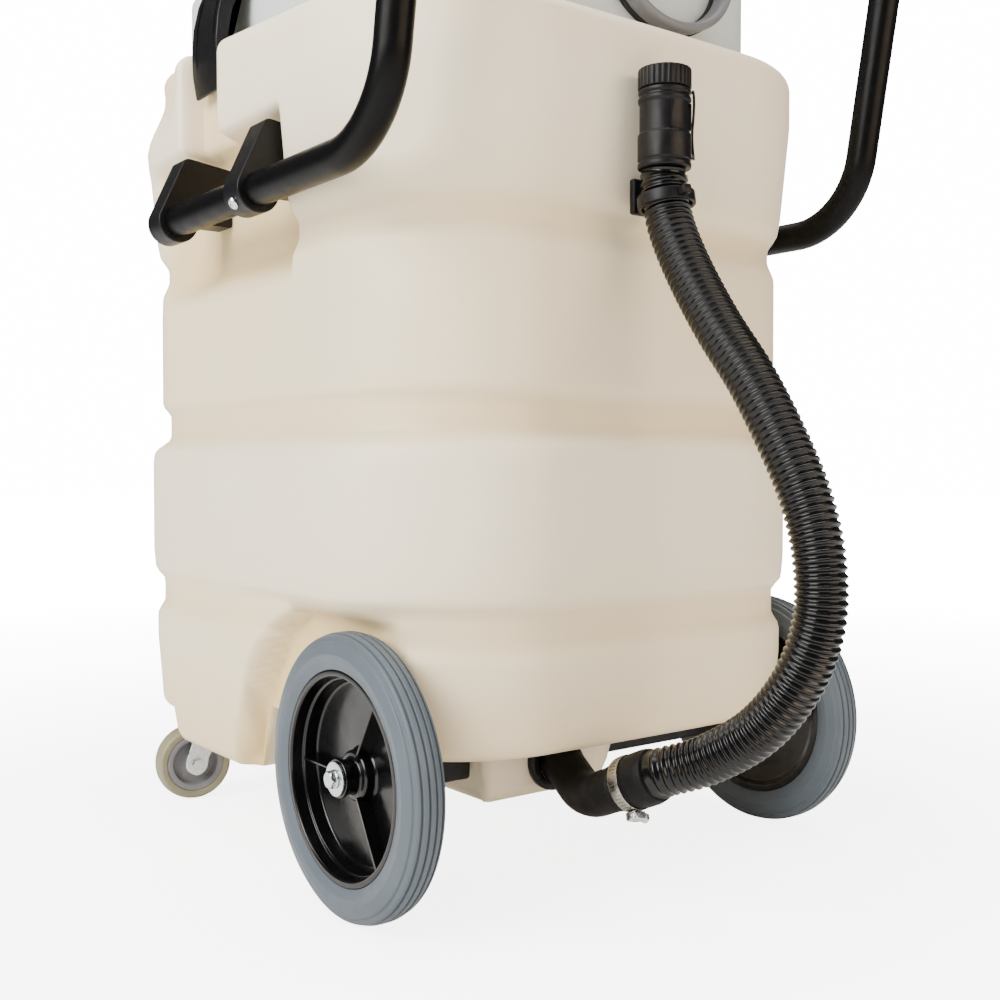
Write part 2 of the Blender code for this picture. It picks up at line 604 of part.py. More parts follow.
def head_ring(base, normal, inset, height):
    return np.column_stack([base - normal * inset, np.full(len(base), height)])


def deck_ring(base, normal, inset, lift):
    """A ring of the head at a lift over the tank's slanting deck."""
    flat = base - normal * inset
    return np.column_stack([flat, rim_height(flat[:, 1]) - DECK_DROP + lift])


def make_head(pale, dark_grey, black, rubber, steel, float_white, zinc):
    """The vacuum head: base, gasket, motor and cover, ports, float, latches and switches."""
    base, normal = plan_columns((0.05,), 1, 1, 4, 3)
    skirt = HEAD_INSET + 0.005
    gasket = [deck_ring(base, normal, inset, lift) for inset, lift in (
        (0.0630, GAP), (0.0466, GAP), (0.0466, 0.0030), (0.0630, 0.0030))]
    loft("head_gasket", gasket, rubber, looped=True)
    rings = [deck_ring(base, normal, HEAD_INSET, 0.0033)]
    for inset, height in ((HEAD_INSET, HEAD_TOP - 0.012), (HEAD_INSET + 0.0035, HEAD_TOP - 0.0035),
                          (HEAD_INSET + 0.012, HEAD_TOP), (0.098, HEAD_TOP), (0.098, HEAD_TOP - 0.004),
                          (skirt, HEAD_TOP - 0.012), (skirt, HEAD_FLOOR + 0.004)):
        rings.append(head_ring(base, normal, inset, height))
    turn = np.arctan2(base[:, 1] - 0.035, base[:, 0])
    for height in (HEAD_FLOOR + 0.004, HEAD_FLOOR):
        hole = np.stack([0.048 * np.cos(turn), 0.035 + 0.048 * np.sin(turn), 0 * turn + height], 1)
        rings.append(hole)
    rings.append(head_ring(base, normal, skirt, HEAD_FLOOR))
    rings.append(deck_ring(base, normal, skirt, 0.0033))
    head = loft("head_base", rings, pale, looped=True)
    front = TANK_FRONT - HEAD_INSET
    inlet_z = 0.893
    cut(head, turned("inlet_hole", ((0, front - 0.012), (0.0225, front - 0.012), (0.0225, front + 0.02),
                                    (0, front + 0.02)), 20, pale, along="Y", at=(0, 0, inlet_z)))
    turned("suction_inlet", ((0.0225, 0), (0.0330, 0), (0.0330, 0.004), (0.0268, 0.004), (0.0262, 0.0395),
                             (0.0225, 0.0395)), 24, dark_grey, along="Y", at=(0, front + GAP, inlet_z))

    cover = []
    for inset, height in ((0.074, HEAD_TOP + GAP), (0.074, 0.962), (0.077, 0.976), (0.084, 0.987),
                          (0.096, COVER_TOP - 0.003), (0.112, COVER_TOP)):
        cover.append(head_ring(base, normal, inset, height))
    under = []
    for inset, height in ((0.078, HEAD_TOP - 0.01), (0.078, 0.962), (0.081, 0.974), (0.088, 0.984),
                          (0.106, COVER_TOP - 0.006)):
        under.append(head_ring(base, normal, inset, height))
    lid = loft("motor_cover", cover, dark_grey)
    cut(lid, loft("cover_hollow", under, dark_grey))

    bottom = HEAD_FLOOR + 0.004 + GAP
    motor = ((0.0200, bottom), (0.0660, bottom), (0.0660, bottom + 0.038), (0.0480, bottom + 0.042),
             (0.0480, bottom + 0.100), (0.0300, bottom + 0.112), (0.0200, bottom + 0.112))
    turned("vacuum_motor", motor, 24, steel, at=(0, 0.035, 0))
    make_float(float_white, black)
    make_exhaust(head, dark_grey, rubber)
    make_latches(black, zinc)
    make_switches(black)


def make_float(float_white, black):
    """The float cage under the head's inlet hole, and the ball that shuts off the suction."""
    at = (0, 0.035, 0)
    top = HEAD_FLOOR - GAP
    low = top - 0.125
    profile = ((0.0180, low), (0.0420, low), (0.0420, top - 0.004), (0.0500, top - 0.004), (0.0500, top),
               (0.0320, top), (0.0390, top - 0.010), (0.0390, low + 0.003), (0.0180, low + 0.003))
    cage = turned("float_cage", profile, 18, black, at=at)
    for k in range(3):
        turn = empty_at(f"slot_place_{k}", at, (0, 0, math.radians(60 * k)))
        slot = box(f"cage_slot_{k}", (-0.06, -0.011, low + 0.014), (0.06, 0.011, top - 0.022), black, turn)
        cut(cage, slot)
    ball = [(0.0240 * math.cos(t), 0.0240 * math.sin(t)) for t in np.linspace(-math.pi / 2, math.pi / 2, 7)]
    ball[0] = (0, ball[0][1])
    ball[-1] = (0, ball[-1][1])
    turned("float_ball", [(r, z + low + 0.003 + 0.0243) for r, z in ball], 14, float_white, at=at)


def make_exhaust(head, dark_grey, rubber):
    """The wide oval port at the back of the head, on its rubber gasket."""
    wide, high, x, z = 0.075, 0.060, 0.047, 0.868
    rear = TANK_REAR + HEAD_INSET

    def oval(grow, y):
        ring = circle(1, 0, 28)
        return np.stack([x + (wide + grow) * ring[:, 0], np.full(28, y), z + (high + grow) * ring[:, 1]], 1)

    hole = circle(1, 0, 20)  # above the head's floor, which runs across behind the port
    across, up = x + 0.045 * hole[:, 0], 0.889 + 0.0235 * hole[:, 1]
    rings = [np.stack([across, np.full(20, rear + d), up], 1) for d in (0.012, -0.012)]
    cut(head, loft("exhaust_hole", rings, rubber))

    gasket = [oval(g, rear - d) for g, d in ((0.001, GAP), (0.001, 0.006), (-0.010, 0.006), (-0.010, GAP))]
    loft("exhaust_gasket", gasket, rubber, looped=True)
    lip = [oval(g, rear - d) for g, d in (
        (0, 0.0063), (0, 0.0210), (-0.0030, 0.0235), (-0.0070, 0.0235), (-0.0095, 0.0063))]
    loft("exhaust_port", lip, dark_grey, looped=True)


def make_latches(black, zinc):
    """On each side a moulded latch that swings on a pin in a fork on the head. Offsets are from
    the pin: outwards, then up."""
    arc = [(0.010 * math.cos(t), 0.010 * math.sin(t)) for t in np.radians((15, 55, 95, 135, 175))]
    outline = [(0.0145, -0.1150), (0.0220, -0.1200), (0.0262, -0.0950), (0.0272, -0.0700),
               (0.0250, -0.0450), (0.0195, -0.0200)] + arc
    outline += [(-0.0090, -0.0100), (0.0070, -0.0350), (0.0105, -0.0550), (0.0145, -0.0800)]
    half = 0.0310
    wall = TANK_HALF_WIDTH - HEAD_INSET + GAP - LATCH_PIVOT_X
    fork = [(wall, -half - 0.0055), (0.008, -half - 0.0055), (0.008, -half - 0.0005),
            (wall + 0.0030, -half - 0.0005), (wall + 0.0030, half + 0.0005), (0.008, half + 0.0005),
            (0.008, half + 0.0055), (wall, half + 0.0055)]
    hole = circle(0.0036, 0, 12)[:, :2]
    for word, side in (("left", -1), ("right", 1)):
        pivot = empty_at("latch_pivot_" + word, (side * LATCH_PIVOT_X, CHANNEL_Y, LATCH_PIVOT_Z))
        flat = [(z, side * x) for x, z in outline[::-side]]
        latch = prism("latch_" + word, flat, -half, half, black, pivot, along="Y")
        cut(latch, prism("latch_hole_" + word, hole, -0.05, 0.05, black, pivot, along="Y"))
        mirrored = [(side * x, y) for x, y in fork[::side]]
        mount = prism("latch_mount_" + word, mirrored, -0.012, 0.012, black, pivot)
        cut(mount, prism("mount_hole_" + word, hole, -0.06, 0.06, black, pivot, along="Y"))
        pin = ((0, -half - 0.0060), (0.0030, -half - 0.0060), (0.0030, half + 0.0060), (0, half + 0.0060))
        turned("latch_pin_" + word, pin, 12, zinc, pivot, along="Y")


def make_switches(black):
    """Two rocker switches in a frame on the head's rear ledge, and the power cord's gland."""
    y, z = TANK_REAR + HEAD_INSET + 0.0125, HEAD_TOP + GAP
    frame = box("switch_frame", (-0.105, y, z), (-0.035, y + 0.0150, z + 0.0030), black)
    outline = ((-0.0085, -0.0030), (-0.0040, -0.0045), (0.0040, -0.0045), (0.0085, -0.0030),
               (0.0106, 0.0022), (0.0000, 0.0008), (-0.0106, 0.0022))  # x and z from the pivot
    for k, x in enumerate((-0.0870, -0.0530)):
        hole = (x - 0.0115, y + 0.0022, z + 0.0006), (x + 0.0115, y + 0.0128, z + 0.01)
        cut(frame, box(f"switch_hole_{k}", *hole, black))
        pivot = empty_at(f"rocker_pivot_{k}", (x, y + 0.0075, z + 0.0062), (0, math.radians(-ROCKER_TILT), 0))
        rocker = [(b, a) for a, b in outline[::-1]]
        prism(f"rocker_switch_{k + 1}", rocker, -0.0047, 0.0047, black, pivot, along="Y")
    gland = ((0.0035, 0), (0.0060, 0), (0.0078, 0.010), (0.0090, 0.011), (0.0090, 0.018), (0.0035, 0.018))
    rear = TANK_REAR + HEAD_INSET - GAP - 0.018
    turned("cord_gland", gland, 14, black, along="Y", at=(-0.085, rear, 0.885))


def build():
    clear_scene()
    make_tank(finish("natural_polyethylene", (0.78, 0.72, 0.60), 0.42))
    black = finish("black_plastic", (0.012, 0.012, 0.014), 0.35)
    rubber = finish("black_rubber", (0.010, 0.010, 0.011), 0.55)
    steel = finish("stainless_steel", (0.55, 0.54, 0.52), 0.30, 1.0)
    zinc = finish("zinc_plated_steel", (0.62, 0.66, 0.68), 0.32, 1.0)
    make_drain(black, rubber, steel)
    make_handle(finish("black_powder_coat", (0.010, 0.010, 0.011), 0.40), black, zinc)
    hub_black = finish("hub_black", (0.008, 0.008, 0.009), 0.2)
    make_wheels(black, finish("grey_rubber", (0.13, 0.17, 0.19), 0.45), hub_black, steel, zinc)
    nylon = finish("grey_nylon", (0.22, 0.22, 0.23), 0.45)
    make_casters(zinc, nylon, finish("khaki_rubber", (0.36, 0.33, 0.22), 0.5))
    make_head(
        finish("pale_grey_plastic", (0.62, 0.67, 0.68), 0.40),
        finish("mid_grey_plastic", (0.13, 0.13, 0.145), 0.40),
        black, rubber, steel, finish("float_white", (0.80, 0.80, 0.78), 0.4), zinc,
    )


build()
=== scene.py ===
"""The looks of a wet-pickup carpet cleaner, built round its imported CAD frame.

Metres, +Z up, +Y towards the front, +X to the right of someone who stands behind the machine.
Each section makes one group of pieces: their shapes, their materials and what they ride on.
"""

import math

import bpy
import numpy as np
from mathutils import Matrix, Vector


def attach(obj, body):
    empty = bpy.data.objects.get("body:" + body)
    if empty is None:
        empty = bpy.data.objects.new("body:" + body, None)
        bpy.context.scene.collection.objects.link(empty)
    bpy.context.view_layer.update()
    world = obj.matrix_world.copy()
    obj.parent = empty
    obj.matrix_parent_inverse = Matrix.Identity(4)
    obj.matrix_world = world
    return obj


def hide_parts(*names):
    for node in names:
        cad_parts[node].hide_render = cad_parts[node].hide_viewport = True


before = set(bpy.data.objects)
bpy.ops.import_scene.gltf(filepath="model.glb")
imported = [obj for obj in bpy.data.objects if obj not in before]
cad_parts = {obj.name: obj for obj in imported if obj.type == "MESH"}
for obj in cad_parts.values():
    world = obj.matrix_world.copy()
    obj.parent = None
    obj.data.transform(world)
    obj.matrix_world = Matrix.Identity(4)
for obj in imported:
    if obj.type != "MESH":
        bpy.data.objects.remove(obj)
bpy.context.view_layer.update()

# ---------------------------------------------------------------- floor, light and camera
# A pale sweep of studio floor, one broad soft light on the machine's left, a weaker one behind
# it, and the camera low behind its left rear wheel.


def to_linear(colour):
    """'#rrggbb' as linear red, green and blue, with full alpha."""
    values = [int(colour[k : k + 2], 16) / 255 for k in (1, 3, 5)]
    return [v / 12.92 if v <= 0.04045 else ((v + 0.055) / 1.055) ** 2.4 for v in values] + [1.0]


def node(tree, kind, inputs=None, **settings):
    """Adds a shader node: settings are its own properties, inputs its sockets' values or links."""
    made = tree.nodes.new("ShaderNode" + kind)
    for key, value in settings.items():
        setattr(made, key, value)
    for key, value in (inputs or {}).items():
        if isinstance(value, bpy.types.NodeSocket):
            tree.links.new(value, made.inputs[key])
        else:
            made.inputs[key].default_value = value
    return made


def set_inputs(shader, values):
    """Sets a shader's inputs by name."""
    for key, value in values.items():
        shader.inputs[key].default_value = value


def new_material(name):
    """An empty material with a Principled BSDF: the material, its tree and the shader."""
    made = bpy.data.materials.new(name)
    made.use_nodes = True
    return made, made.node_tree, made.node_tree.nodes["Principled BSDF"]


def two_tone(tree, shader, low, high, scale):
    """Base colour that drifts between two colours with noise of a scale per metre. Returns the object
    coordinates and the mix."""
    place = node(tree, "TexCoord").outputs["Object"]
    drift = node(tree, "TexNoise", {"Vector": place, "Scale": scale, "Detail": 3.0})
    tone = node(tree, "Mix", {"Factor": drift.outputs["Fac"]}, data_type="RGBA")
    tone.inputs[6].default_value = to_linear(low)
    tone.inputs[7].default_value = to_linear(high)
    tree.links.new(tone.outputs[2], shader.inputs["Base Color"])
    return place, tone


def link_object(name, data):
    """An object with this data, in the scene."""
    item = bpy.data.objects.new(name, data)
    bpy.context.scene.collection.objects.link(item)
    return item


def add_floor():
    """Matt white; for the camera it brightens outwards until it meets the white surround."""
    made, tree, shader = new_material("studio_floor_paint")
    place, _ = two_tone(tree, shader, "#f4f4f4", "#f8f8f7", 2.0)
    set_inputs(shader, {"Roughness": 0.7, "Specular IOR Level": 0.2,
            "Emission Color": to_linear("#ffffff")})
    away = node(tree, "VectorMath", {0: place}, operation="LENGTH").outputs["Value"]
    glow = node(tree, "MapRange", {"Value": away, "From Min": 0.5, "From Max": 2.6, "To Min": 5.0,
            "To Max": 16.0})
    seen = node(tree, "LightPath").outputs["Is Camera Ray"]
    glow = node(tree, "Math", {0: glow.outputs["Result"], 1: seen}, operation="MULTIPLY")
    tree.links.new(glow.outputs[0], shader.inputs["Emission Strength"])
    mesh = bpy.data.meshes.new("floor")
    mesh.from_pydata([(-14, -10, 0), (14, -10, 0), (14, 16, 0), (-14, 16, 0)], [], [(0, 1, 2, 3)])
    mesh.materials.append(made)
    link_object("floor", mesh)


def add_light(name, location, target, size, power, colour):
    """A rectangular area light that faces a target."""
    light = bpy.data.lights.new(name, "AREA")
    light.shape = "RECTANGLE"
    light.size, light.size_y = size
    light.energy = power
    light.color = to_linear(colour)[:3]
    item = link_object(name, light)
    item.location = location
    aim = Vector(target) - Vector(location)
    item.rotation_euler = aim.to_track_quat("-Z", "Y").to_euler()


def add_world():
    """A white surround at full strength for the camera, dimmer as fill light, and faint in
    reflections, as black flags round a product table make it."""
    world = bpy.data.worlds.new("studio")
    world.use_nodes = True
    tree = world.node_tree
    rays = node(tree, "LightPath")
    fill = node(tree, "MapRange", {"Value": rays.outputs["Is Glossy Ray"], "To Min": 0.5, "To Max": 0.12})
    strength = node(tree, "MapRange", {"Value": rays.outputs["Is Camera Ray"], "To Max": 16.0})
    tree.links.new(fill.outputs["Result"], strength.inputs["To Min"])
    surround = tree.nodes["Background"]
    surround.inputs["Color"].default_value = to_linear("#fdfdfd")
    tree.links.new(strength.outputs["Result"], surround.inputs["Strength"])
    bpy.context.scene.world = world


add_floor()
add_light("left_softbox", (-2.6, -0.4, 1.9), (0, 0, 0.45), (2.0, 2.0), 172, "#fffdf8")
add_light("rear_softbox", (0.7, -3.0, 1.2), (0, 0, 0.35), (2.4, 1.2), 54, "#ffe6c6")
add_light("top_softbox", (0.2, 0.2, 3.0), (0, 0, 0.5), (2.6, 2.6), 120, "#ffffff")
add_world()
camera = bpy.data.cameras.new("camera")
camera.lens = 44.24
camera.sensor_width = 36
camera_item = link_object("camera", camera)
camera_item.location = (-0.79883, -1.09467, 0.39217)
camera_item.rotation_euler = [math.radians(t) for t in (88.479, 0, -37.087)]
bpy.context.scene.camera = camera_item

# ---------------------------------------------------------------- drain hose and its cuffs
# A spiral-ribbed polyethylene hose on a moulded rubber elbow. A stainless worm clamp holds its
# lower cuff. Its upper cuff has a screw cap on a thin tether, and a strap clips it to the tank.


def noise_bump(tree, shader, scale, distance):
    """Fine moulded grain: noise of a scale per metre lifts the surface by a distance in metres."""
    place = node(tree, "TexCoord").outputs["Object"]
    grain = node(tree, "TexNoise", {"Vector": place, "Scale": scale, "Detail": 2.0})
    lift = node(tree, "Bump", {"Height": grain.outputs["Fac"], "Strength": 0.5, "Distance": distance})
    tree.links.new(lift.outputs["Normal"], shader.inputs["Normal"])


def rough_range(tree, shader, low, high, scale):
    """Roughness that drifts between two values, as handled plastic and rubber have."""
    place = node(tree, "TexCoord").outputs["Object"]
    drift = node(tree, "TexNoise", {"Vector": place, "Scale": scale, "Detail": 4.0})
    spread = node(tree, "MapRange", {"Value": drift.outputs["Fac"], "From Min": 0.3, "From Max": 0.7,
            "To Min": low, "To Max": high})
    tree.links.new(spread.outputs["Result"], shader.inputs["Roughness"])


def plain_finish(name, low, high, rough, drift, grain, lift, metallic=0.0, specular=0.5):
    """A material from two near colours, a roughness range, and a grain with its height."""
    made, tree, shader = new_material(name)
    two_tone(tree, shader, low, high, drift)
    rough_range(tree, shader, rough[0], rough[1], drift * 3)
    noise_bump(tree, shader, grain, lift)
    set_inputs(shader, {"Metallic": metallic, "Specular IOR Level": specular})
    return made


hose_black = plain_finish("polyethylene_hose_gloss", "#050506", "#08080a", (0.16, 0.24), 30, 900, 0.00006,
        0.0, 0.35)
cuff_black = plain_finish("moulded_black_satin", "#08080a", "#0d0d10", (0.34, 0.46), 25, 1600, 0.00006, 0.0,
        0.22)
elbow_rubber = plain_finish("black_rubber_matt", "#080808", "#0d0d0e", (0.48, 0.62), 25, 1200, 0.0001, 0.0,
        0.15)
stainless = plain_finish("stainless_strip_bright", "#8f8c86", "#a9a69f", (0.22, 0.32), 60, 700, 0.00002,
        1.0)
zinc = plain_finish("bright_zinc_plate", "#c4cad0", "#e2e6ea", (0.18, 0.32), 80, 900, 0.00004, 1.0)


def make_object(name, solid, material, body, cad_node=None, sharp=40):
    """A smooth-shaded mesh from (points, faces) that rides on a body and stands for a CAD node.
    Edges sharper than an angle in degrees stay crisp."""
    points, faces = solid
    mesh = bpy.data.meshes.new(name)
    mesh.from_pydata(np.asarray(points, float).tolist(), [], [list(map(int, f)) for f in faces])
    mesh.shade_smooth()
    mesh.set_sharp_from_angle(angle=math.radians(sharp))
    mesh.materials.append(material)
    item = link_object(name, mesh)
    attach(item, body)
    if cad_node:
        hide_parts(cad_node)
    return item


def grid_faces(rows, columns, wrap, closed=False):
    """Quads of a grid of rows by columns: wrap joins the last column to the first, closed the rows."""
    i, j = np.meshgrid(np.arange(rows if closed else rows - 1), np.arange(columns if wrap else columns - 1),
            indexing="ij")
    i, j = i.ravel(), j.ravel()
    up, side = (i + 1) % rows, (j + 1) % columns
    return np.stack([i * columns + j, i * columns + side, up * columns + side, up * columns + j], 1)


def solid_of_rings(rings, closed):
    """Points and faces of a body through equal rings: a closed loop of them, or capped at both ends."""
    rings = np.asarray(rings, float)
    rows, columns = rings.shape[:2]
    faces = grid_faces(rows, columns, True, closed).tolist()
    if not closed:
        faces.append(list(range(columns))[::-1])
        faces.append(list(range((rows - 1) * columns, rows * columns)))
    return rings.reshape(-1, 3), faces


def join(*solids):
    """Several (points, faces) as one."""
    points, faces, count = [], [], 0
    for p, f in solids:
        points.append(np.asarray(p, float))
        faces += [[int(v) + count for v in face] for face in f]
        count += len(p)
    return np.concatenate(points), faces


def mm(*corners):
    """Corners given in millimetres, as an array in metres."""
    return np.array(corners) / 1000


def rounded(corners, radius, steps=4, closed=False):
    """A line of corners with each one replaced by a curve: with the corner P, and A and B a radius
    away from it along its two edges, (1-t)^2 A + 2t(1-t) P + t^2 B."""
    p = np.asarray(corners, float)
    radius = np.broadcast_to(np.asarray(radius, float), len(p))
    t = np.linspace(0, 1, steps + 1)[:, None]
    line = [] if closed else [p[:1]]
    for k in range(0 if closed else 1, len(p) if closed else len(p) - 1):
        before, at, after = p[k - 1], p[k], p[(k + 1) % len(p)]
        a, b = before - at, after - at
        la, lb = np.linalg.norm(a), np.linalg.norm(b)
        cut = min(radius[k], 0.48 * la, 0.48 * lb)
        a, b = at + a / la * cut, at + b / lb * cut
        line.append((1 - t) ** 2 * a + 2 * t * (1 - t) * at + t**2 * b)
    if not closed:
        line.append(p[-1:])
    return np.concatenate(line)


def spun(profile, steps, closed, origin=(0, 0, 0), axis=(0, 0, 1)):
    """A body turned about an axis through origin. The profile's (radius, height) points run outside
    towards +axis: ring k is radius_k (cos t, sin t) at height_k."""
    profile = np.asarray(profile, float)
    t = np.arange(steps) * 2 * math.pi / steps
    rings = np.zeros((len(profile), steps, 3))
    rings[..., 0] = profile[:, :1] * np.cos(t)
    rings[..., 1] = profile[:, :1] * np.sin(t)
    rings[..., 2] = profile[:, 1:]
    turn = np.array(Vector(axis).to_track_quat("Z", "Y").to_matrix())
    return solid_of_rings(rings @ turn.T + np.array(origin), closed)


def smooth_line(route, step):
    """Points about step apart on a smooth curve through a route: between B and C, with A before and
    D after, (2B + (C-A)t + (2A-5B+4C-D)t^2 + (3B-A-3C+D)t^3) / 2."""
    p = np.array([tuple(q) for q in route], float)
    p = np.concatenate([[2 * p[0] - p[1]], p, [2 * p[-1] - p[-2]]])
    t = np.linspace(0, 1, 24, endpoint=False)[:, None]
    fine = []
    for a, b, c, d in zip(p[:-3], p[1:-2], p[2:-1], p[3:]):
        fine.append(0.5 * (2 * b + (c - a) * t + (2 * a - 5 * b + 4 * c - d) * t**2
                + (3 * b - a - 3 * c + d) * t**3))
    fine = np.concatenate(fine + [p[-2:-1]])
    along = np.concatenate([[0], np.cumsum(np.linalg.norm(np.diff(fine, axis=0), axis=1))])
    at = np.linspace(0, along[-1], max(2, round(along[-1] / step) + 1))
    return np.stack([np.interp(at, along, fine[:, k]) for k in range(3)], 1)


def length_of(line):
    """The sum of the distances from point to point."""
    return float(np.linalg.norm(np.diff(line, axis=0), axis=1).sum())


def pipe(line, radius, sides):
    """A capped round pipe along a line: ring k is radius_k (cos t, sin t) across the line's direction,
    with no twist from ring to ring."""
    line = np.asarray(line, float)
    radius = np.broadcast_to(np.asarray(radius, float), len(line))
    heading = np.gradient(line, axis=0)
    heading /= np.linalg.norm(heading, axis=1)[:, None]
    across = np.cross(heading[0], (0.31, 0.17, 0.93))
    t = np.arange(sides) * 2 * math.pi / sides
    rings = np.zeros((len(line), sides, 3))
    for k, (at, way) in enumerate(zip(line, heading)):
        across = across - way * across.dot(way)
        across /= np.linalg.norm(across)
        other = np.cross(way, across)
        rings[k] = at + radius[k] * (np.cos(t)[:, None] * across + np.sin(t)[:, None] * other)
    return solid_of_rings(rings, False)


HOSE_R = 0.021
CUFF_LOW = Vector((-0.0755, -0.315, 0.116))
CUFF_HIGH = Vector((-0.07, -0.351, 0.1325))
CUFF_WAY = (CUFF_HIGH - CUFF_LOW).normalized()
HOSE_ROUTE = ((-0.0686, -0.36, 0.1366), (-0.052, -0.393, 0.151), (-0.041, -0.438, 0.182),
        (-0.034, -0.471, 0.225), (-0.03, -0.487, 0.272), (-0.029, -0.486, 0.321), (-0.028, -0.472, 0.368),
        (-0.028, -0.448, 0.414), (-0.027, -0.415, 0.464), (-0.027, -0.377, 0.512), (-0.026, -0.342, 0.563),
        (-0.026, -0.32, 0.606), (-0.026, -0.3125, 0.642))
HOSE_TOP = (-0.026, -0.3125, 0.6536)


def make_hose():
    """A corrugated tube: its radius is 18.7 mm + 2.4 mm |sin|^2.2 of the distance along it, with a
    narrow rib each 6.4 mm."""
    start = CUFF_LOW + CUFF_WAY * 0.02
    line = smooth_line([start, CUFF_HIGH, *HOSE_ROUTE, HOSE_TOP], 0.0064 / 10)
    along = np.arange(len(line)) / 10 * math.pi
    radius = HOSE_R - 0.0023 + 0.0024 * np.abs(np.sin(along)) ** 2.2
    inside = np.linalg.norm(line - np.array(CUFF_LOW), axis=1) < 0.0395
    radius[inside] = 0.018
    radius[0], radius[-1] = 0.012, 0.018
    hose = make_object("hose_corrugated", pipe(line, radius, 40), hose_black, "tank", "drain_hose",
            60)
    return hose, line[::10]


def make_lower_cuff():
    """A turned sleeve with a lip at the elbow, a collar, and a slow taper over the hose."""
    low, high = CUFF_LOW, CUFF_HIGH
    length = (high - low).length
    outline = rounded(((0.015, 0.0004), (0.0224, 0.0004), (0.0232, 0.0016), (0.0232, 0.018), (0.024, 0.02),
            (0.024, 0.033), (0.0226, length - 0.0004), (0.02, length - 0.0004)), 0.0016, 4)
    return make_object("cuff_lower", spun(outline, 56, False, low, CUFF_WAY), elbow_rubber, "tank",
            "hose_cuff_lower")


def make_elbow():
    """The elbow swells into a collar at its flange end and a socket lip at its cuff end."""
    way = np.array(CUFF_WAY)
    route = [(-0.064, -0.2046, 0.119), (-0.064, -0.215, 0.1188), (-0.066, -0.232, 0.11),
            (-0.07, -0.254, 0.0995), (-0.074, -0.276, 0.1), (-0.0767, -0.297, 0.108), np.array(CUFF_LOW)
            - way * 0.01, np.array(CUFF_LOW) - way * 0.0006]
    line = smooth_line(route, 0.0025)
    at = np.linspace(0, length_of(line), len(line))
    end = at[-1]
    radius = 0.0196 + 0.001 * np.exp(-((at - end + 0.004) / 0.004) ** 2)
    radius = radius + 0.0012 * np.exp(-((at - 0.016) / 0.005) ** 2)
    radius[0], radius[-1] = 0.018, 0.019
    make_object("elbow_rubber", pipe(line, radius, 48), elbow_rubber, "tank", "drain_elbow")
    flange = rounded(mm((21.5, 0.3), (30.4, 0.3), (30.4, 6), (28, 8), (21.5, 8)), 0.0012, 3, closed=True)
    solids = [spun(flange, 64, True, (-0.064, -0.2043, 0.119), (0, -1, 0))]
    for k in range(6):
        t = math.radians(60 * k + 30)
        seat = (-0.064 + 0.0262 * math.cos(t), -0.211, 0.119 + 0.0262 * math.sin(t))
        head = rounded(mm((0, 0), (2.6, 0), (2.6, 1.2), (1.4, 2.2), (0, 2.2)), 0.0005, 2)
        solids.append(spun(head[1:-1], 16, False, seat, (0, -1, 0)))
    make_object("flange_ring", join(*solids), cuff_black, "tank", "drain_flange")


def frame_at(origin, way, side):
    """A matrix whose Z runs along way and whose X leans towards side."""
    z = Vector(way).normalized()
    y = z.cross(Vector(side)).normalized()
    return Matrix.Translation(Vector(origin)) @ Matrix((y.cross(z), y, z)).transposed().to_4x4()


def moved(solid, matrix):
    """A solid turned and shifted by a matrix."""
    points = np.asarray(solid[0], float)
    m = np.array(matrix)
    return points @ m[:3, :3].T + m[:3, 3], solid[1]


def block(low, high, edge=0.0008, steps=2):
    """A box with rounded vertical and horizontal edges: inset rings of a rounded rectangle."""
    (x0, y0, z0), (x1, y1, z1) = low, high
    edge = min(edge, (x1 - x0) * 0.3, (y1 - y0) * 0.3, (z1 - z0) * 0.3)
    rings = []
    turns = np.linspace(0, math.pi / 2, steps + 1)
    for z, out in [(z0 + edge * (1 - math.cos(t)),
            1 - math.sin(t)) for t in turns] + [(z1 - edge * (1 - math.cos(t)),
            1 - math.sin(t)) for t in turns[::-1]]:
        e = edge * out
        corners = ((x0 + e, y0 + e), (x1 - e, y0 + e), (x1 - e, y1 - e), (x0 + e, y1 - e))
        flat = rounded(corners, edge, steps, closed=True)
        rings.append(np.column_stack([flat, np.full(len(flat), z)]))
    return solid_of_rings(rings, False)


def make_clamp():
    """A slotted stainless band, its worm housing and the hexagon screw that draws it tight."""
    place = frame_at(CUFF_LOW + CUFF_WAY * 0.0095, CUFF_WAY, (-0.25, -0.1, -1))
    band = rounded(mm((23.4, -5.5), (24.3, -5.5), (24.3, 5.5), (23.4, 5.5)), 0.0003, 2, True)
    solids = [spun(band, 72, True)]
    for t in np.radians(np.arange(-88, 89, 8.0)):
        bar = block((-0.0004, 0.02425, -0.0032), (0.0004, 0.0247, 0.0032), 0.0002, 1)
        solids.append(moved(bar, Matrix.Rotation(t + math.pi, 4, "Z")))
    make_object("clamp_band", moved(join(*solids), place), stainless, "tank", "hose_clamp")
    housing = block((0.0245, -0.007, -0.0062), (0.032, 0.007, 0.0062), 0.0016, 3)
    profile = rounded(mm((1, -9), (3.6, -9), (3.6, 8), (4.8, 8.2), (4.8, 12.5), (1, 12.5)), 0.0005, 2)
    screw = spun(profile, 6, False, (0.0288, 0, 0), (0, 1, 0))
    make_object("clamp_worm_screw", moved(join(housing, screw), place), zinc, "tank", "clamp_screw",
            25)


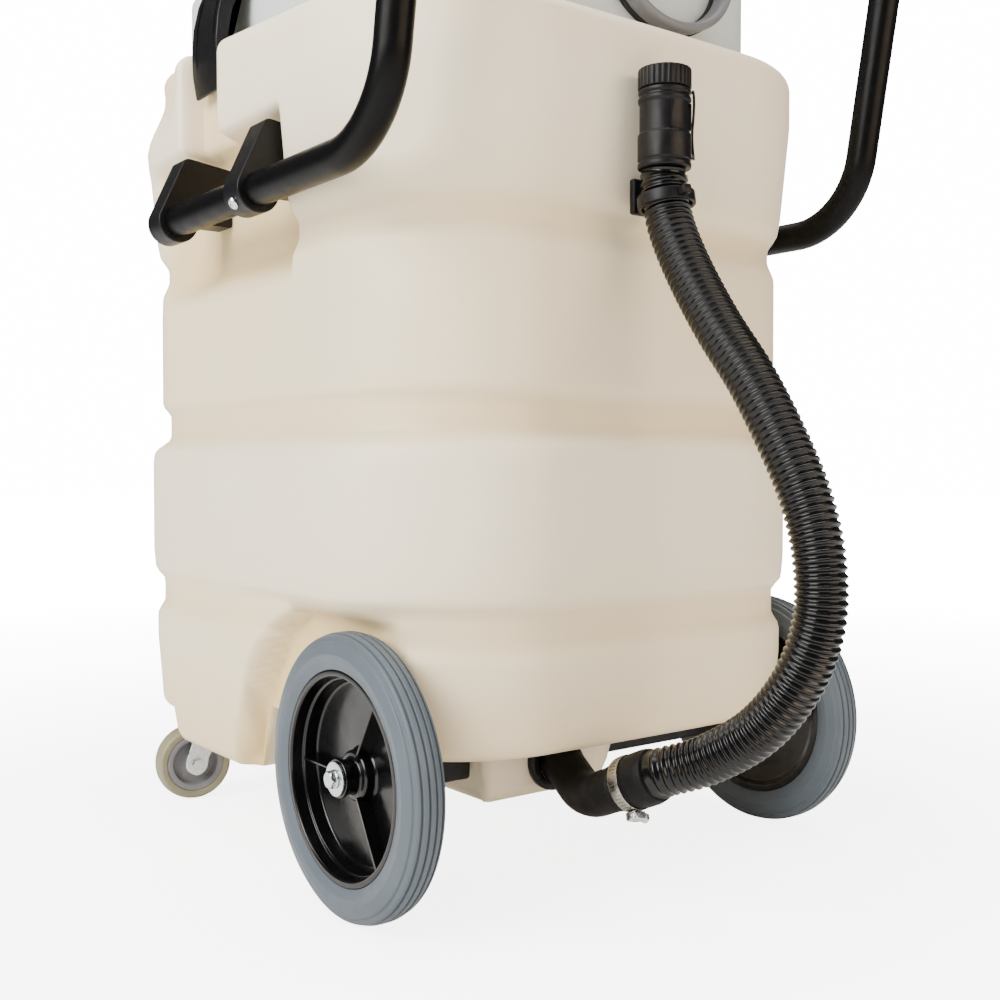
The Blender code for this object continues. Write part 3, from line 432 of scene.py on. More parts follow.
def make_upper_cuff():
    """The cuff at the hose's top: a ribbed ring, a sleeve, and a neck with its locking rings."""
    outline = rounded(mm((18, 0.4), (22.2, 0.4), (23.7, 1.4), (23.7, 5), (22.6, 6.2), (22.6, 7.2),
            (23.7, 8.2), (23.7, 29.6), (22.1, 31.8), (22.1, 57), (23.4, 58.8), (23.4, 61.8), (22, 62.8),
            (22, 65), (23.2, 65.8), (23.2, 69), (18.7, 69.4), (18.7, 82), (15.2, 82), (15.2, 50)), 0.0009,
            3)
    solids = [spun(outline, 72, False, HOSE_TOP)]
    for k in range(2):
        t = math.radians(-118 + 64 * k)
        rib = block((0.0215, -0.0016, 0.033), (0.0236, 0.0016, 0.056), 0.0008, 2)
        solids.append(moved(rib, Matrix.Translation(HOSE_TOP) @ Matrix.Rotation(t, 4, "Z")))
    return make_object("cuff_upper", join(*solids), cuff_black, "tank", "hose_cuff_upper")


def make_cap():
    """A cap with 24 grips round its rim: its radius is 22.7 mm + 0.8 mm |cos 12t|^0.5."""
    profile = rounded(mm((19.2, 84), (19.2, 70), (22.7, 70), (22.7, 86.8), (21.2, 88), (3, 88)), 0.0008, 3)
    t = np.arange(240) * 2 * math.pi / 240
    rings = np.zeros((len(profile), 240, 3))
    outer = profile[:, :1] > 0.0215
    radius = profile[:, :1] + outer * 0.0008 * np.abs(np.cos(12 * t)) ** 0.5
    rings[..., 0], rings[..., 1] = radius * np.cos(t), radius * np.sin(t)
    rings[..., 2] = profile[:, 1:]
    points, faces = solid_of_rings(rings + np.array(HOSE_TOP), False)
    return make_object("cap_fluted", (points, faces), cuff_black, "cap", "drain_cap", 50)


def make_tether():
    """A round cord that hangs beside the upper cuff, from its collar to its foot."""
    turns = ((-66, 0.064), (-60, 0.0655), (-48, 0.058), (-34, 0.046), (-26, 0.034), (-28, 0.022),
            (-36, 0.012), (-50, 0.0085), (-62, 0.008))
    route = []
    for turn, height in turns:
        t = math.radians(turn)
        route.append((HOSE_TOP[0] + 0.0256 * math.cos(t), HOSE_TOP[1] + 0.0256 * math.sin(t), HOSE_TOP[2]
                + height))
    return make_object("cap_tether_loop", pipe(smooth_line(route, 0.002), 0.0012, 12), cuff_black, "tank",
            "cap_tether")


def make_clip():
    """The strap is a split band with a ratchet head; its base is a plate on the tank's wall."""
    way = Vector((0, 0.1544, 0.988))
    place = frame_at((-0.026, -0.31506, 0.62623), way, (0, 1, 0))
    band = rounded(mm((22.2, -5.5), (25.6, -5.5), (25.6, 5.5), (22.2, 5.5)), 0.001, 3, True)
    solids = [spun(band, 72, True)]
    lug = block((-0.006, 0.02, -0.005), (0.006, 0.032, 0.005), 0.0015, 3)
    solids.append(moved(lug, Matrix.Rotation(math.radians(-112), 4, "Z")))
    hook = block((-0.004, 0.024, -0.004), (0.004, 0.0345, 0.004), 0.0015, 3)
    solids.append(moved(hook, Matrix.Rotation(math.radians(78), 4, "Z")))
    make_object("clip_band", moved(join(*solids), place), cuff_black, "tank", "clip_strap")
    make_object("clip_plate", join(block((-0.036, -0.2848, 0.619), (-0.004, -0.2778, 0.651), 0.0022, 3),
            block((-0.03, -0.288, 0.6205), (-0.01, -0.284, 0.632), 0.0012, 2)), cuff_black, "tank",
            "clip_base")


hose, hose_path = make_hose()
hose_pieces = [make_lower_cuff(), make_upper_cuff(), make_cap(), make_tether()]
make_elbow()
make_clamp()
make_clip()

# ---------------------------------------------------------------- tank
# One rotomoulded shell of natural polyethylene, 5 mm thick. Bands run round it, each side has a
# pocket for the handle and a channel for a latch, and the underside clears wheels and casters.

HALF_WIDTH, REAR, FRONT = 0.272, -0.282, 0.351
REAR_R, FRONT_R = 0.155, 0.12
BANDS = ((0.085, -0.012), (0.15, -0.008), (0.2, -0.004), (0.227, -0.004), (0.239, -0.012), (0.266, -0.012),
        (0.276, -0.002), (0.3, 0.0), (0.4, 0.0), (0.411, -0.002), (0.424, -0.02), (0.452, -0.02),
        (0.462, -0.011), (0.588, -0.011), (0.604, -0.018), (0.62, -0.018), (0.634, -0.008), (0.65, -0.005),
        (0.745, 0.004), (0.9, 0.004))


def step(value, at, width):
    """0 below at and 1 above it, as 3t^2 - 2t^3 across width."""
    t = np.clip((value - at) / width + 0.5, 0, 1)
    return t * t * (3 - 2 * t)


def plan_half(rear_n, rear_arc, stations, front_arc, front_n):
    """Half the tank's plan, from the middle of its rear to the middle of its front: points with
    their outward normals. The corners are arcs, and the rear and front bow by a millimetre."""
    rx, fx = HALF_WIDTH - REAR_R, HALF_WIDTH - FRONT_R
    x = rx * (np.arange(rear_n) + 0.5) / rear_n
    rows = [np.column_stack([x, REAR + 0.0012 * (x / rx) ** 2, 0 * x, 0 * x - 1])]
    t = np.linspace(-math.pi / 2, 0, rear_arc + 1)
    rows.append(np.column_stack([rx + REAR_R * np.cos(t), REAR + REAR_R + (REAR_R - 0.0012) * np.sin(t),
            np.cos(t), np.sin(t)]))
    y = np.asarray(stations)
    rows.append(np.column_stack([0 * y + HALF_WIDTH, y, 0 * y + 1, 0 * y]))
    t = np.linspace(0, math.pi / 2, front_arc + 1)
    rows.append(np.column_stack([fx + FRONT_R * np.cos(t), FRONT - FRONT_R + (FRONT_R - 0.0012) * np.sin(t),
            np.cos(t), np.sin(t)]))
    x = fx * (np.arange(front_n)[::-1] + 0.5) / front_n
    rows.append(np.column_stack([x, FRONT - 0.0012 * (x / fx) ** 2, 0 * x, 0 * x + 1]))
    return np.concatenate(rows)


def both_halves(half):
    """The whole plan, anticlockwise: a right-hand half and its mirror."""
    return np.concatenate([half, half[::-1] * (-1, 1, -1, 1)])


def stations(*spans):
    """Values from spans (start, end, count), each span without its end."""
    return np.concatenate([np.linspace(a, b, n, endpoint=False) for a, b, n in spans])


def band_offset(z):
    """The bands' offset at a height, averaged over 5 mm so that their edges are soft."""
    heights, offsets = np.array(BANDS).T
    return np.mean([np.interp(z + s, heights, offsets) for s in np.linspace(-0.0025, 0.0025, 7)], axis=0)


def recess(y, z, side, grow):
    """The handle pocket and latch channel as masks, 0 to 1, widened by grow."""
    channel = step(y, 0.074 - grow, 0.014) * step(-y, -0.16 - grow, 0.014) * step(z, 0.7, 0.014) * side
    pocket = step(y, -0.058 - grow, 0.012) * step(-y, -0.25 - grow, 0.085)
    pocket = pocket * step(z, 0.587 - grow, 0.05) * step(-z, -0.7215 - grow, 0.018) * side
    return channel, pocket


def underside(x, y):
    """Height of the tank's underside: the deep front, the raised rear with a lip along its edge, the
    sump, and the caster wells."""
    raised = 1 - step(y, 0.046, 0.014)
    sump = step(x, -0.143, 0.01) * step(-x, -0.01, 0.01) * step(y, -0.204, 0.01)
    z = 0.085 + 0.065 * raised * (1 - sump)
    corner = np.hypot(np.maximum(np.abs(x) - 0.117, 0), np.minimum(y + 0.127, 0))
    lip = step(corner, 0.133, 0.006) * step(-y, 0.2075, 0.005) * (1 - sump)
    z = z - 0.011 * lip
    reach = np.abs(x) - 0.186, y - 0.281
    well = np.hypot(np.minimum(reach[0], 0), np.minimum(reach[1], 0))
    return z + (0.118 - z) * (1 - step(well, 0.062, 0.012))


def arch_mask(y, z, grow):
    """1 inside the space round a rear wheel, 0 outside it, softly."""
    front = np.interp(z, (0, 0.085, 0.13, 0.19, 0.238, 0.258), (0.068, 0.066, 0.052, 0.022, -0.015, -0.06))
    deep = np.minimum(0.258 + grow - z, front + grow - y)
    return step(deep, 0.0, 0.014)


def wall_points(plan, z, inset, grow):
    """Points of the wall at heights z: the plan, moved out by the bands and in by the recesses, then
    held within 235 mm of the middle beside the wheels. Returns them and how deep they are recessed."""
    side = (np.abs(plan[:, 2]) > 0.6) * 1.0
    channel, pocket = recess(plan[:, 1], z, side, grow)
    offset = band_offset(z) - 0.02 * step(z, 0.7775, 0.065) * step(plan[:, 1], 0.1985, 0.065)
    offset = offset * (1 - channel) - 0.024 * channel
    offset = offset * (1 - pocket) - 0.0425 * pocket
    flat = plan[:, :2] + plan[:, 2:] * (offset - inset)[:, None]
    arch = arch_mask(flat[:, 1], z, grow)
    limit = 0.235 - grow
    over = np.maximum(np.abs(flat[:, 0]) - limit, 0) * arch
    flat[:, 0] -= np.sign(flat[:, 0]) * over
    # These depths later drive the tank's painted warm shade.
    deep = np.clip(-offset / 0.03, 0, 1) + over / 0.04
    return np.column_stack([flat, z]), deep


def rim_z(y):
    """The rim's height, which rises 85 mm a metre towards the front."""
    return 0.797 + 0.085 * (y + 0.269)


def rim_points(plan, inset, lift, grow):
    """The wall's ring at the rim, moved in and lifted from it, with its depths."""
    ring, deep = wall_points(plan, np.full(len(plan), 0.8), inset, grow)
    ring[:, 2] = rim_z(ring[:, 1]) + lift
    return ring, deep


def floor_rows(half, last, lift):
    """61 points across the underside from each right-hand point of the last ring to its twin."""
    n = len(half)
    spread = np.linspace(1, -1, 61)
    right, left = last[:n], last[::-1][:n]
    rows = right[:, None] * (0.5 + spread[:, None] / 2) + left[:, None] * (0.5 - spread[:, None] / 2)
    rows[:, 1:-1, 2] = underside(rows[:, 1:-1, 0], rows[:, 1:-1, 1]) + lift
    return rows


def tank_side(plan, heights, edge, grow):
    """Rings with their depths from a list of heights down to the underside, the last few rounded in
    by edge. The inner skin has a grow, and lies that far inside the outer one."""
    bottom = underside(plan[:, 0], plan[:, 1]) + grow
    rows = [wall_points(plan, np.full(len(plan), z), grow, grow) for z in heights]
    for f in np.linspace(1, 0, 26)[1:]:
        rows.append(wall_points(plan, bottom + edge + (heights[-1] - bottom - edge) * f, grow, grow))
    for t in np.radians((22, 45, 68, 90)):
        z = bottom + edge * (1 - math.sin(t))
        rows.append(wall_points(plan, z, grow + edge * (1 - math.cos(t)), grow))
    return rows


def opening_ring(plan, inset, lift, grow=0):
    """A ring of the rim or deck: past 24 mm in, it keeps to the plain plan, clear of the recesses."""
    if inset <= 0.024:
        return rim_points(plan, inset, lift, grow)[0]
    flat = plan[:, :2] - plan[:, 2:] * (inset - 0.004)
    return np.column_stack([flat, rim_z(flat[:, 1]) + lift])


WALL = 0.005


def make_tank(material):
    """The outer skin from the opening's edge over the rim and down, the underside, and the inner
    skin from the opening's edge down to the inner floor."""
    side = stations((-0.122, -0.066, 8), (-0.066, -0.05, 6), (-0.05, 0.064, 12), (0.064, 0.084, 6),
            (0.084, 0.15, 6), (0.15, 0.17, 6), (0.17, 0.231, 8))
    half = plan_half(9, 26, side, 18, 9)
    plan = both_halves(half)
    count = len(plan)
    rows = [(opening_ring(plan, inset, lift), np.zeros(count)) for inset, lift in ((0.0655, -0.0148),
            (0.066, -0.014), (0.066, -0.011), (0.0652, -0.0102), (0.064, -0.01), (0.04, -0.01),
            (0.0225, -0.01), (0.0217, -0.0097), (0.0212, -0.0088), (0.0204, -0.0015), (0.02, -0.0004),
            (0.019, 0.0))]
    for t in np.radians((90, 75, 60, 45, 30, 15, 0)):
        rows.append(rim_points(plan, 0.018 * (1 - math.cos(t)), 0.018 * (math.sin(t) - 1), 0))
    top = rows[-1][0][:, 2]
    for f in np.linspace(0, 1, 8)[1:]:
        rows.append(wall_points(plan, top + (0.748 - top) * f, 0, 0))
    rows += tank_side(plan, np.linspace(0.748, 0.3, 96)[1:], 0.013, 0)
    rings, depths = zip(*rows)
    points = np.concatenate(rings)
    faces = grid_faces(len(rings), count, True)[:, ::-1].tolist()
    floor = floor_rows(half, rings[-1], 0)
    points, faces = add_floor_rows(points, faces, floor, (len(rings) - 1) * count, count, False)
    inner = [opening_ring(plan, inset, lift, WALL) for inset, lift in ((0.0645, -0.015), (0.04, -0.015),
            (0.03, -0.017), (0.01, -0.03))]
    inner += [ring for ring, _ in tank_side(plan, np.linspace(0.745, 0.3, 40), 0.01, WALL)]
    first = len(points)
    points = np.concatenate([points] + inner)
    faces += (grid_faces(len(inner), count, True) + first).tolist()
    bridge = grid_faces(2, count, True)
    faces += np.where(bridge < count, bridge, bridge - count + first).tolist()
    floor = floor_rows(half, inner[-1], WALL)
    points, faces = add_floor_rows(points, faces, floor, first + (len(inner) - 1) * count, count, True)
    depth = np.concatenate(depths + (np.zeros(len(points) - len(rings) * count),))
    tank = make_object("tank_rotomoulded", (points, faces), material, "tank", "tank_shell",
            75)
    # The recess depths go to the material, which paints warm shade into the recesses with them.
    painted_shade = tank.data.attributes.new("recess", "FLOAT", "POINT")
    painted_shade.data.foreach_set("value", depth.astype(np.float32))


def add_floor_rows(points, faces, floor, start, count, up):
    """Fills a ring with its cross rows: their ends are the ring's own points."""
    n, across = floor.shape[:2]
    inner = floor[:, 1:-1].reshape(-1, 3)
    base = len(points)
    index = np.zeros((n, across), int)
    index[:, 0] = start + np.arange(n)
    index[:, -1] = start + count - 1 - np.arange(n)
    index[:, 1:-1] = base + np.arange(n * (across - 2)).reshape(n, -1)
    quads = np.stack([index[:-1, :-1], index[:-1, 1:], index[1:, 1:], index[1:, :-1]], -1).reshape(-1, 4)
    if up:
        quads = quads[:, ::-1]
    return np.concatenate([points, inner]), faces + quads.tolist()


def polyethylene():
    """Natural polyethylene: milky, a little translucent, with the faint orange peel of a rotational
    mould. Painted warm shade darkens its colour where it is recessed and towards the bottom."""
    made, tree, shader = new_material("natural_polyethylene_rotomoulded")
    place, tone = two_tone(tree, shader, "#eedfc4", "#f2e6cf", 5.0)
    parts = node(tree, "SeparateXYZ", {"Vector": place})
    recessed = node(tree, "Attribute", attribute_name="recess")
    # Painted shade: below 340 mm the colour is pulled towards a darker warm beige, more the lower it is, and
    # more in the recesses.
    low = node(tree, "MapRange", {"Value": parts.outputs["Z"], "From Min": 0.34, "From Max": 0.08,
            "To Min": 0.0, "To Max": 0.35})
    shade_amount = node(tree, "Math", {0: recessed.outputs["Fac"], 1: 0.75}, operation="MULTIPLY")
    shade_amount = node(tree, "Math", {0: shade_amount.outputs[0], 1: low.outputs["Result"]}, operation="ADD",
            use_clamp=True)
    # The mix towards #dfc084 paints warm shade into the recesses and onto the low wall.
    painted_shade = node(tree, "Mix", {"Factor": shade_amount.outputs[0]}, data_type="RGBA")
    tree.links.new(tone.outputs[2], painted_shade.inputs[6])
    painted_shade.inputs[7].default_value = to_linear("#dfc084")
    tree.links.new(painted_shade.outputs[2], shader.inputs["Base Color"])
    set_inputs(shader, {"Subsurface Weight": 0.22, "Subsurface Radius": (1.0, 0.72, 0.42),
            "Subsurface Scale": 0.012})
    rough_range(tree, shader, 0.4, 0.52, 12)
    peel = node(tree, "TexNoise", {"Vector": place, "Scale": 260.0, "Detail": 2.0})
    wave = node(tree, "TexNoise", {"Vector": place, "Scale": 9.0, "Detail": 1.0})
    soft = node(tree, "Bump", {"Height": wave.outputs["Fac"], "Strength": 0.35, "Distance": 0.004})
    fine = node(tree, "Bump", {"Height": peel.outputs["Fac"], "Strength": 0.18, "Distance": 0.0004,
            "Normal": soft.outputs["Normal"]})
    tree.links.new(fine.outputs["Normal"], shader.inputs["Normal"])
    return made


make_tank(polyethylene())

# ---------------------------------------------------------------- handle
# A 31 mm steel tube, bent at four corners and powder-coated satin black. Four moulded clamps
# carry it in the tank's pockets, and a zinc button-head screw pins it in each rear clamp.

powder_coat = plain_finish("black_powder_coat_satin", "#030304", "#060607", (0.3, 0.4), 18, 1400, 0.00005,
        0.0, 0.12)
SIDES = (("left", -1), ("right", 1))
TUBE_R, TUBE_X, TUBE_Z = 0.0155, 0.29, 0.648
# Stands an outline up, so that it lies in x and z.
TO_Y = Matrix(((1, 0, 0, 0), (0, 0, -1, 0), (0, 1, 0, 0), (0, 0, 0, 1)))


def make_handle():
    """One pipe along an arc-cornered line, mirrored about the middle, with chamfered ends."""
    top_y = -0.273 - 0.17 * (0.9845 - TUBE_Z)
    half = [(TUBE_X, 0.156, TUBE_Z), (TUBE_X, -0.273, TUBE_Z), (TUBE_X, top_y, 0.9845)]
    corners = half + [(-x, y, z) for x, y, z in reversed(half)]
    line = arc_corners(corners, (0.085, 0.07, 0.07, 0.085), 40)
    radius = np.full(len(line), TUBE_R)
    radius[0] = radius[-1] = TUBE_R - 0.0015
    line = np.concatenate([line[:1], line[:1] - [(0, 0.0015, 0)], line[1:-1], line[-1:] - [(0, 0.0015, 0)],
            line[-1:]])
    radius = np.concatenate([radius[:1], [TUBE_R], radius[1:-1], [TUBE_R], radius[-1:]])
    make_object("handle_bent_tube", pipe(line, radius, 48), powder_coat, "tank", "handle_tube")


def arc_corners(corners, radii, steps):
    """A line through corners, each rounded by a true arc: its centre is radius / sin(half angle)
    from the corner along the bisector."""
    line = [Vector(corners[0])]
    for before, at, after, radius in zip(corners, corners[1:], corners[2:], radii):
        before, at, after = Vector(before), Vector(at), Vector(after)
        a, b = (before - at).normalized(), (after - at).normalized()
        half = a.angle(b) / 2
        centre = at + (a + b).normalized() * radius / math.sin(half)
        start = at + a * radius / math.tan(half) - centre
        end = at + b * radius / math.tan(half) - centre
        line += [centre + start.slerp(end, k / steps).normalized() * radius for k in range(steps + 1)]
    line.append(Vector(corners[-1]))
    return np.array([tuple(p) for p in line])


def slab(outline, low, high, edge, steps=3):
    """A flat piece: an outline, anticlockwise, pushed from low to high along Z, with its two rims
    rounded by edge. Each rim ring is the outline moved in along its own normals."""
    p = np.asarray(outline, float)
    along = np.roll(p, -1, 0) - np.roll(p, 1, 0)
    normal = np.column_stack([along[:, 1], -along[:, 0]]) / np.linalg.norm(along, axis=1)[:, None]
    rings = []
    turns = np.linspace(0, math.pi / 2, steps + 1)
    for z, e in [(low + edge * (1 - math.sin(t)),
            edge * (1 - math.cos(t))) for t in turns[::-1]] + [(high - edge * (1 - math.sin(t)),
            edge * (1 - math.cos(t))) for t in turns]:
        rings.append(np.column_stack([p - normal * e, np.full(len(p), z)]))
    return solid_of_rings(rings, False)


def bracket_solid(side):
    """The clamp's outline in x and z: a ring round the tube, and a tall web that runs in to the
    pocket's wall."""
    arc = [(TUBE_X + 0.0215 * math.cos(t), TUBE_Z
            + 0.0215 * math.sin(t)) for t in np.radians(np.linspace(-180, 18, 34))]
    apex = [(0.2835, 0.713), (0.279, 0.715), (0.2298, 0.7085), (0.2298, 0.648), (0.26, 0.648)]
    outline = np.array(arc + list(rounded([arc[-1]] + apex + [arc[0]], 0.003, 4)[1:-1]))
    return outline if side > 0 else outline[::-1] * (-1, 1)


def make_brackets():
    """Each clamp is its outline pushed 32 mm along y; each screw is a dome with a round socket."""
    for word, side in SIDES:
        outline = bracket_solid(side)
        for end, front in (("front", 0.164), ("rear", -0.022)):
            body = moved(slab(outline, -front, -front + 0.032, 0.0016, 3), TO_Y)
            item = make_object(f"bracket_{word}_{end}_moulded", body, cuff_black, "tank",
                    f"bracket_{word}_{end}", 30)
            item.modifiers.new("even_faces", "WEIGHTED_NORMAL")
        lean = math.radians(-35)
        out = Vector((side * math.cos(lean), 0, math.sin(lean)))
        seat = Vector((side * TUBE_X, -0.038, TUBE_Z)) + out * 0.0219
        dome = rounded(mm((6, 0), (6, 1), (4.6, 2.7), (2, 3.1), (1.9, 1.2), (0.2, 1.2)), 0.0006, 3)
        make_object(f"bracket_screw_{word}_socket", spun(dome, 40, False, seat, out), zinc, "tank",
                f"bracket_screw_{word}", 30)


make_handle()
make_brackets()

# ---------------------------------------------------------------- rear wheels
# Semi-pneumatic grey rubber tyres with a grooved tread, on gloss-black moulded hubs with radial
# ribs in a deep dish. Each turns on a steel stub axle, behind a zinc washer and hexagon bolt.

tyre_rubber = plain_finish("grey_rubber_tyre", "#4c545c", "#576068", (0.36, 0.48), 14, 1500, 0.00006, 0.0,
        0.25)
hub_gloss = plain_finish("black_nylon_gloss", "#050506", "#09090b", (0.14, 0.24), 20, 500, 0.00003, 0.0,
        0.4)
AXLE_Y, WHEEL_X, WHEEL_R = -0.174, 0.262, 0.125


def tyre_profile():
    """From the bead, up the flat side, over a creased bevel and a step to the tread, which has four
    grooves 2.2 mm deep and a slight crown."""
    half = [(0.0931, -0.015), (0.101, -0.0182), (0.1068, -0.019), (0.108, -0.0186), (0.1166, -0.0166),
            (0.1174, -0.0158), (0.1178, -0.0144), (0.1214, -0.0134), (0.1224, -0.0126)]
    tread = []
    for centre in (-0.0098, -0.0033, 0.0033, 0.0098):
        for offset, depth in ((-0.0012, 0), (-0.0007, 0.0022), (0.0007, 0.0022), (0.0012, 0)):
            at = centre + offset
            tread.append((WHEEL_R - depth - 0.3 * max(abs(at) - 0.005, 0), at))
    return rounded(half + tread + [(r, -h) for r, h in half[::-1]], 0.0005, 3, closed=True)


def rib(turn, inner, outer, floor, low_top, high_top, thick):
    """A radial rib in the hub's dish: it stands on the web and its top slopes up to the rim."""
    c, s = math.cos(turn), math.sin(turn)
    rings = []
    for f in np.linspace(0, 1, 6):
        r = inner + (outer - inner) * f
        top = low_top + (high_top - low_top) * f**1.6
        e = min(0.0006, thick * 0.3)
        section = ((-thick, floor), (thick, floor), (thick * 0.8, top - e), (thick * 0.5, top),
                (-thick * 0.5, top), (-thick * 0.8, top - e))
        rings.append([(r * c - w * s, r * s + w * c, z) for w, z in section])
    return solid_of_rings(np.array(rings)[:, ::-1], False)


def make_wheels():
    """Turned tyres, turned hubs with three ribs a third of a turn apart, washers and bolts."""
    for word, side in SIDES:
        centre, axis = (side * WHEEL_X, AXLE_Y, WHEEL_R), (side, 0, 0)
        place = frame_at(centre, axis, (0, 0, 1))
        wheel = "wheel_" + word
        make_object(f"tyre_{word}_grooved", moved(spun(tyre_profile(), 144, True), place), tyre_rubber,
                wheel, "wheel_tyre_" + word, 50)
        dish = rounded(mm((8.6, -18), (21.5, -18), (24, -13), (81.5, -13), (86, -15), (92.7, -15),
                (92.7, 15), (88, 15.2), (86.8, 14), (85.6, 3.6), (83.6, 3.2), (82.2, -8.5), (80, -9.7),
                (25, -9.7), (22.8, -8), (22.2, -0.5), (20.5, 1), (16.5, 1.4), (15.2, 3), (15.2, 11.5),
                (16.8, 12.5), (17, 16.5), (8.6, 16.5)), 0.001, 3, closed=True)
        solids = [spun(dish, 144, True)]
        for turn in (90, 210, 330):
            solids.append(rib(math.radians(turn), 0.0195, 0.0838, -0.0101, 0.004, 0.0034, 0.0015))
        make_object(f"hub_{word}_ribbed", moved(join(*solids), place), hub_gloss, wheel, "wheel_hub_"
                + word, 35)
        washer = rounded(mm((4.2, 17.1), (15, 17.1), (15, 19), (4.2, 19)), 0.0005, 2, closed=True)
        make_object(f"washer_{word}_zinc", moved(spun(washer, 56, True), place), zinc, "tank",
                "wheel_washer_" + word, 40)
        make_bolt(f"bolt_{word}_hexagon", f"wheel_bolt_{word}", place, 0.0194)


def make_bolt(name, replaced, place, seat):
    """A hexagon head, 14 mm across flats, whose corners are cut by a cone, over a flange."""
    t = np.radians(np.arange(0, 360, 5))
    across = 0.007 / np.cos((t + math.pi / 6) % (math.pi / 3) - math.pi / 6)
    rings = []
    for z, limit in ((0.0012, 0.0079), (0.0046, 0.0079), (0.0054, 0.0074), (0.006, 0.0067),
            (0.0061, 0.004)):
        r = np.minimum(across, limit)
        rings.append(np.column_stack([r * np.cos(t), r * np.sin(t), np.full(len(t), seat + z)]))
    flange = rounded(((0.008, seat), (0.0083, seat + 0.0006), (0.0078, seat + 0.0014),
            (0.006, seat + 0.0016)), 0.0003, 2)
    solid = join(solid_of_rings(rings, False), spun(flange, 48, False))
    make_object(name, moved(solid, place), zinc, "tank", replaced, 30)


def make_axles():
    """Hat-section blocks under the tank with the stub axles in them, bolted through their flanges."""
    shape = ((-0.03, 0.1496), (-0.03, 0.1455), (-0.018, 0.144), (-0.017, 0.111), (-0.014, 0.108),
            (0.014, 0.108), (0.017, 0.111), (0.018, 0.144), (0.03, 0.1455), (0.03, 0.1496))
    to_x = Matrix(((0, 0, 1, 0), (1, 0, 0, 0), (0, 1, 0, 0), (0, 0, 0, 1)))
    for word, side, low, high in (("left", -1, -0.232, -0.15), ("right", 1, 0.018, 0.232)):
        outline = rounded(shape, (0.0006, 0.001, 0.002, 0.003, 0.003, 0.003, 0.003, 0.002, 0.001, 0.0006),
                3, True)
        solids = [moved(slab(outline + (AXLE_Y, 0), low, high, 0.0008, 2), to_x)]
        count = 2 if side < 0 else 4
        for x in np.linspace(low + 0.014, high - 0.014, count):
            for y in (-0.024, 0.024):
                head = rounded(mm((4, 0), (4, 2.4), (3, 3), (0.4, 3)), 0.0003, 2)
                solids.append(spun(head, 6, False, (x, AXLE_Y + y, 0.1452), (0, 0, -1)))
        make_object(f"axle_block_{word}", join(*solids), cuff_black, "tank", "axle_bracket_" + word,
                30)
        start = WHEEL_X - (high - 0.06 if side > 0 else -low - 0.06)
        shaft = rounded(((0.0065, -start), (0.008, -start + 0.0015), (0.008, 0.0158), (0.007, 0.0168)),
                0.0004, 2)
        place = frame_at((side * WHEEL_X, AXLE_Y, WHEEL_R), (side, 0, 0), (0, 0, 1))
        make_object(f"axle_stub_{word}", moved(spun(shaft, 40, False), place), zinc, "tank", "stub_axle_"
                + word, 40)


make_wheels()
make_axles()

# ---------------------------------------------------------------- casters
# Zinc-plated swivel casters: a pressed fork under a ball race, and a grey nylon core with a
# khaki rubber tread that turns on a through bolt.

nylon_grey = plain_finish("grey_nylon_core", "#6b6b70", "#78787d", (0.36, 0.48), 40, 1500, 0.00005)
tread_khaki = plain_finish("khaki_rubber_tread", "#7c775f", "#8b866d", (0.45, 0.58), 40, 1300, 0.00008)
CASTER_X, CASTER_Y, CASTER_R, TRAIL = 0.186, 0.281, 0.0435, 0.028


def fork_solid():
    """A strip 3 mm thick that runs up from one axle tip, over the wheel and down to the other."""
    half, thick, top = 0.018, 0.003, 0.1005
    path = rounded(((half + thick / 2, 0.0306), (half + thick / 2, top + thick / 2),
            (-half - thick / 2, top + thick / 2), (-half - thick / 2, 0.0306)), 0.006, 8)
    stages = [(CASTER_R - 0.013 * math.cos(t), TRAIL,
            0.013 * math.sin(t)) for t in np.linspace(0.15, 1.5, 9)]
    stages += [(0.05, TRAIL - 0.001, 0.013), (0.072, 0.017, 0.0155), (0.09, 0.007, 0.02),
            (0.104, 0.004, 0.022)]
    zs, mids, wides = np.array(stages).T
    dense = []
    for a, b in zip(path[:-1], path[1:]):
        count = max(1, int(np.linalg.norm(b - a) / 0.0012))
        dense += [a + (b - a) * k / count for k in range(count)]
    line = np.array(dense + [path[-1]])
    heading = np.gradient(line, axis=0)
    heading /= np.linalg.norm(heading, axis=1)[:, None]
    across = np.column_stack([heading[:, 1], -heading[:, 0]]) * thick / 2
    rings = []
    for (y, z), (ay, az) in zip(line, across):
        mid, wide = np.interp(z, zs, mids), np.interp(z, zs, wides)
        e = 0.0009
        section = ((-wide, -1 + 0.6), (-wide + e, -1), (wide - e, -1), (wide, -1 + 0.6), (wide, 1 - 0.6),
                (wide - e, 1), (-wide + e, 1), (-wide, 1 - 0.6))
        rings.append([(mid + u, y + ay * v, z + az * v) for u, v in section])
    return solid_of_rings(rings, False)


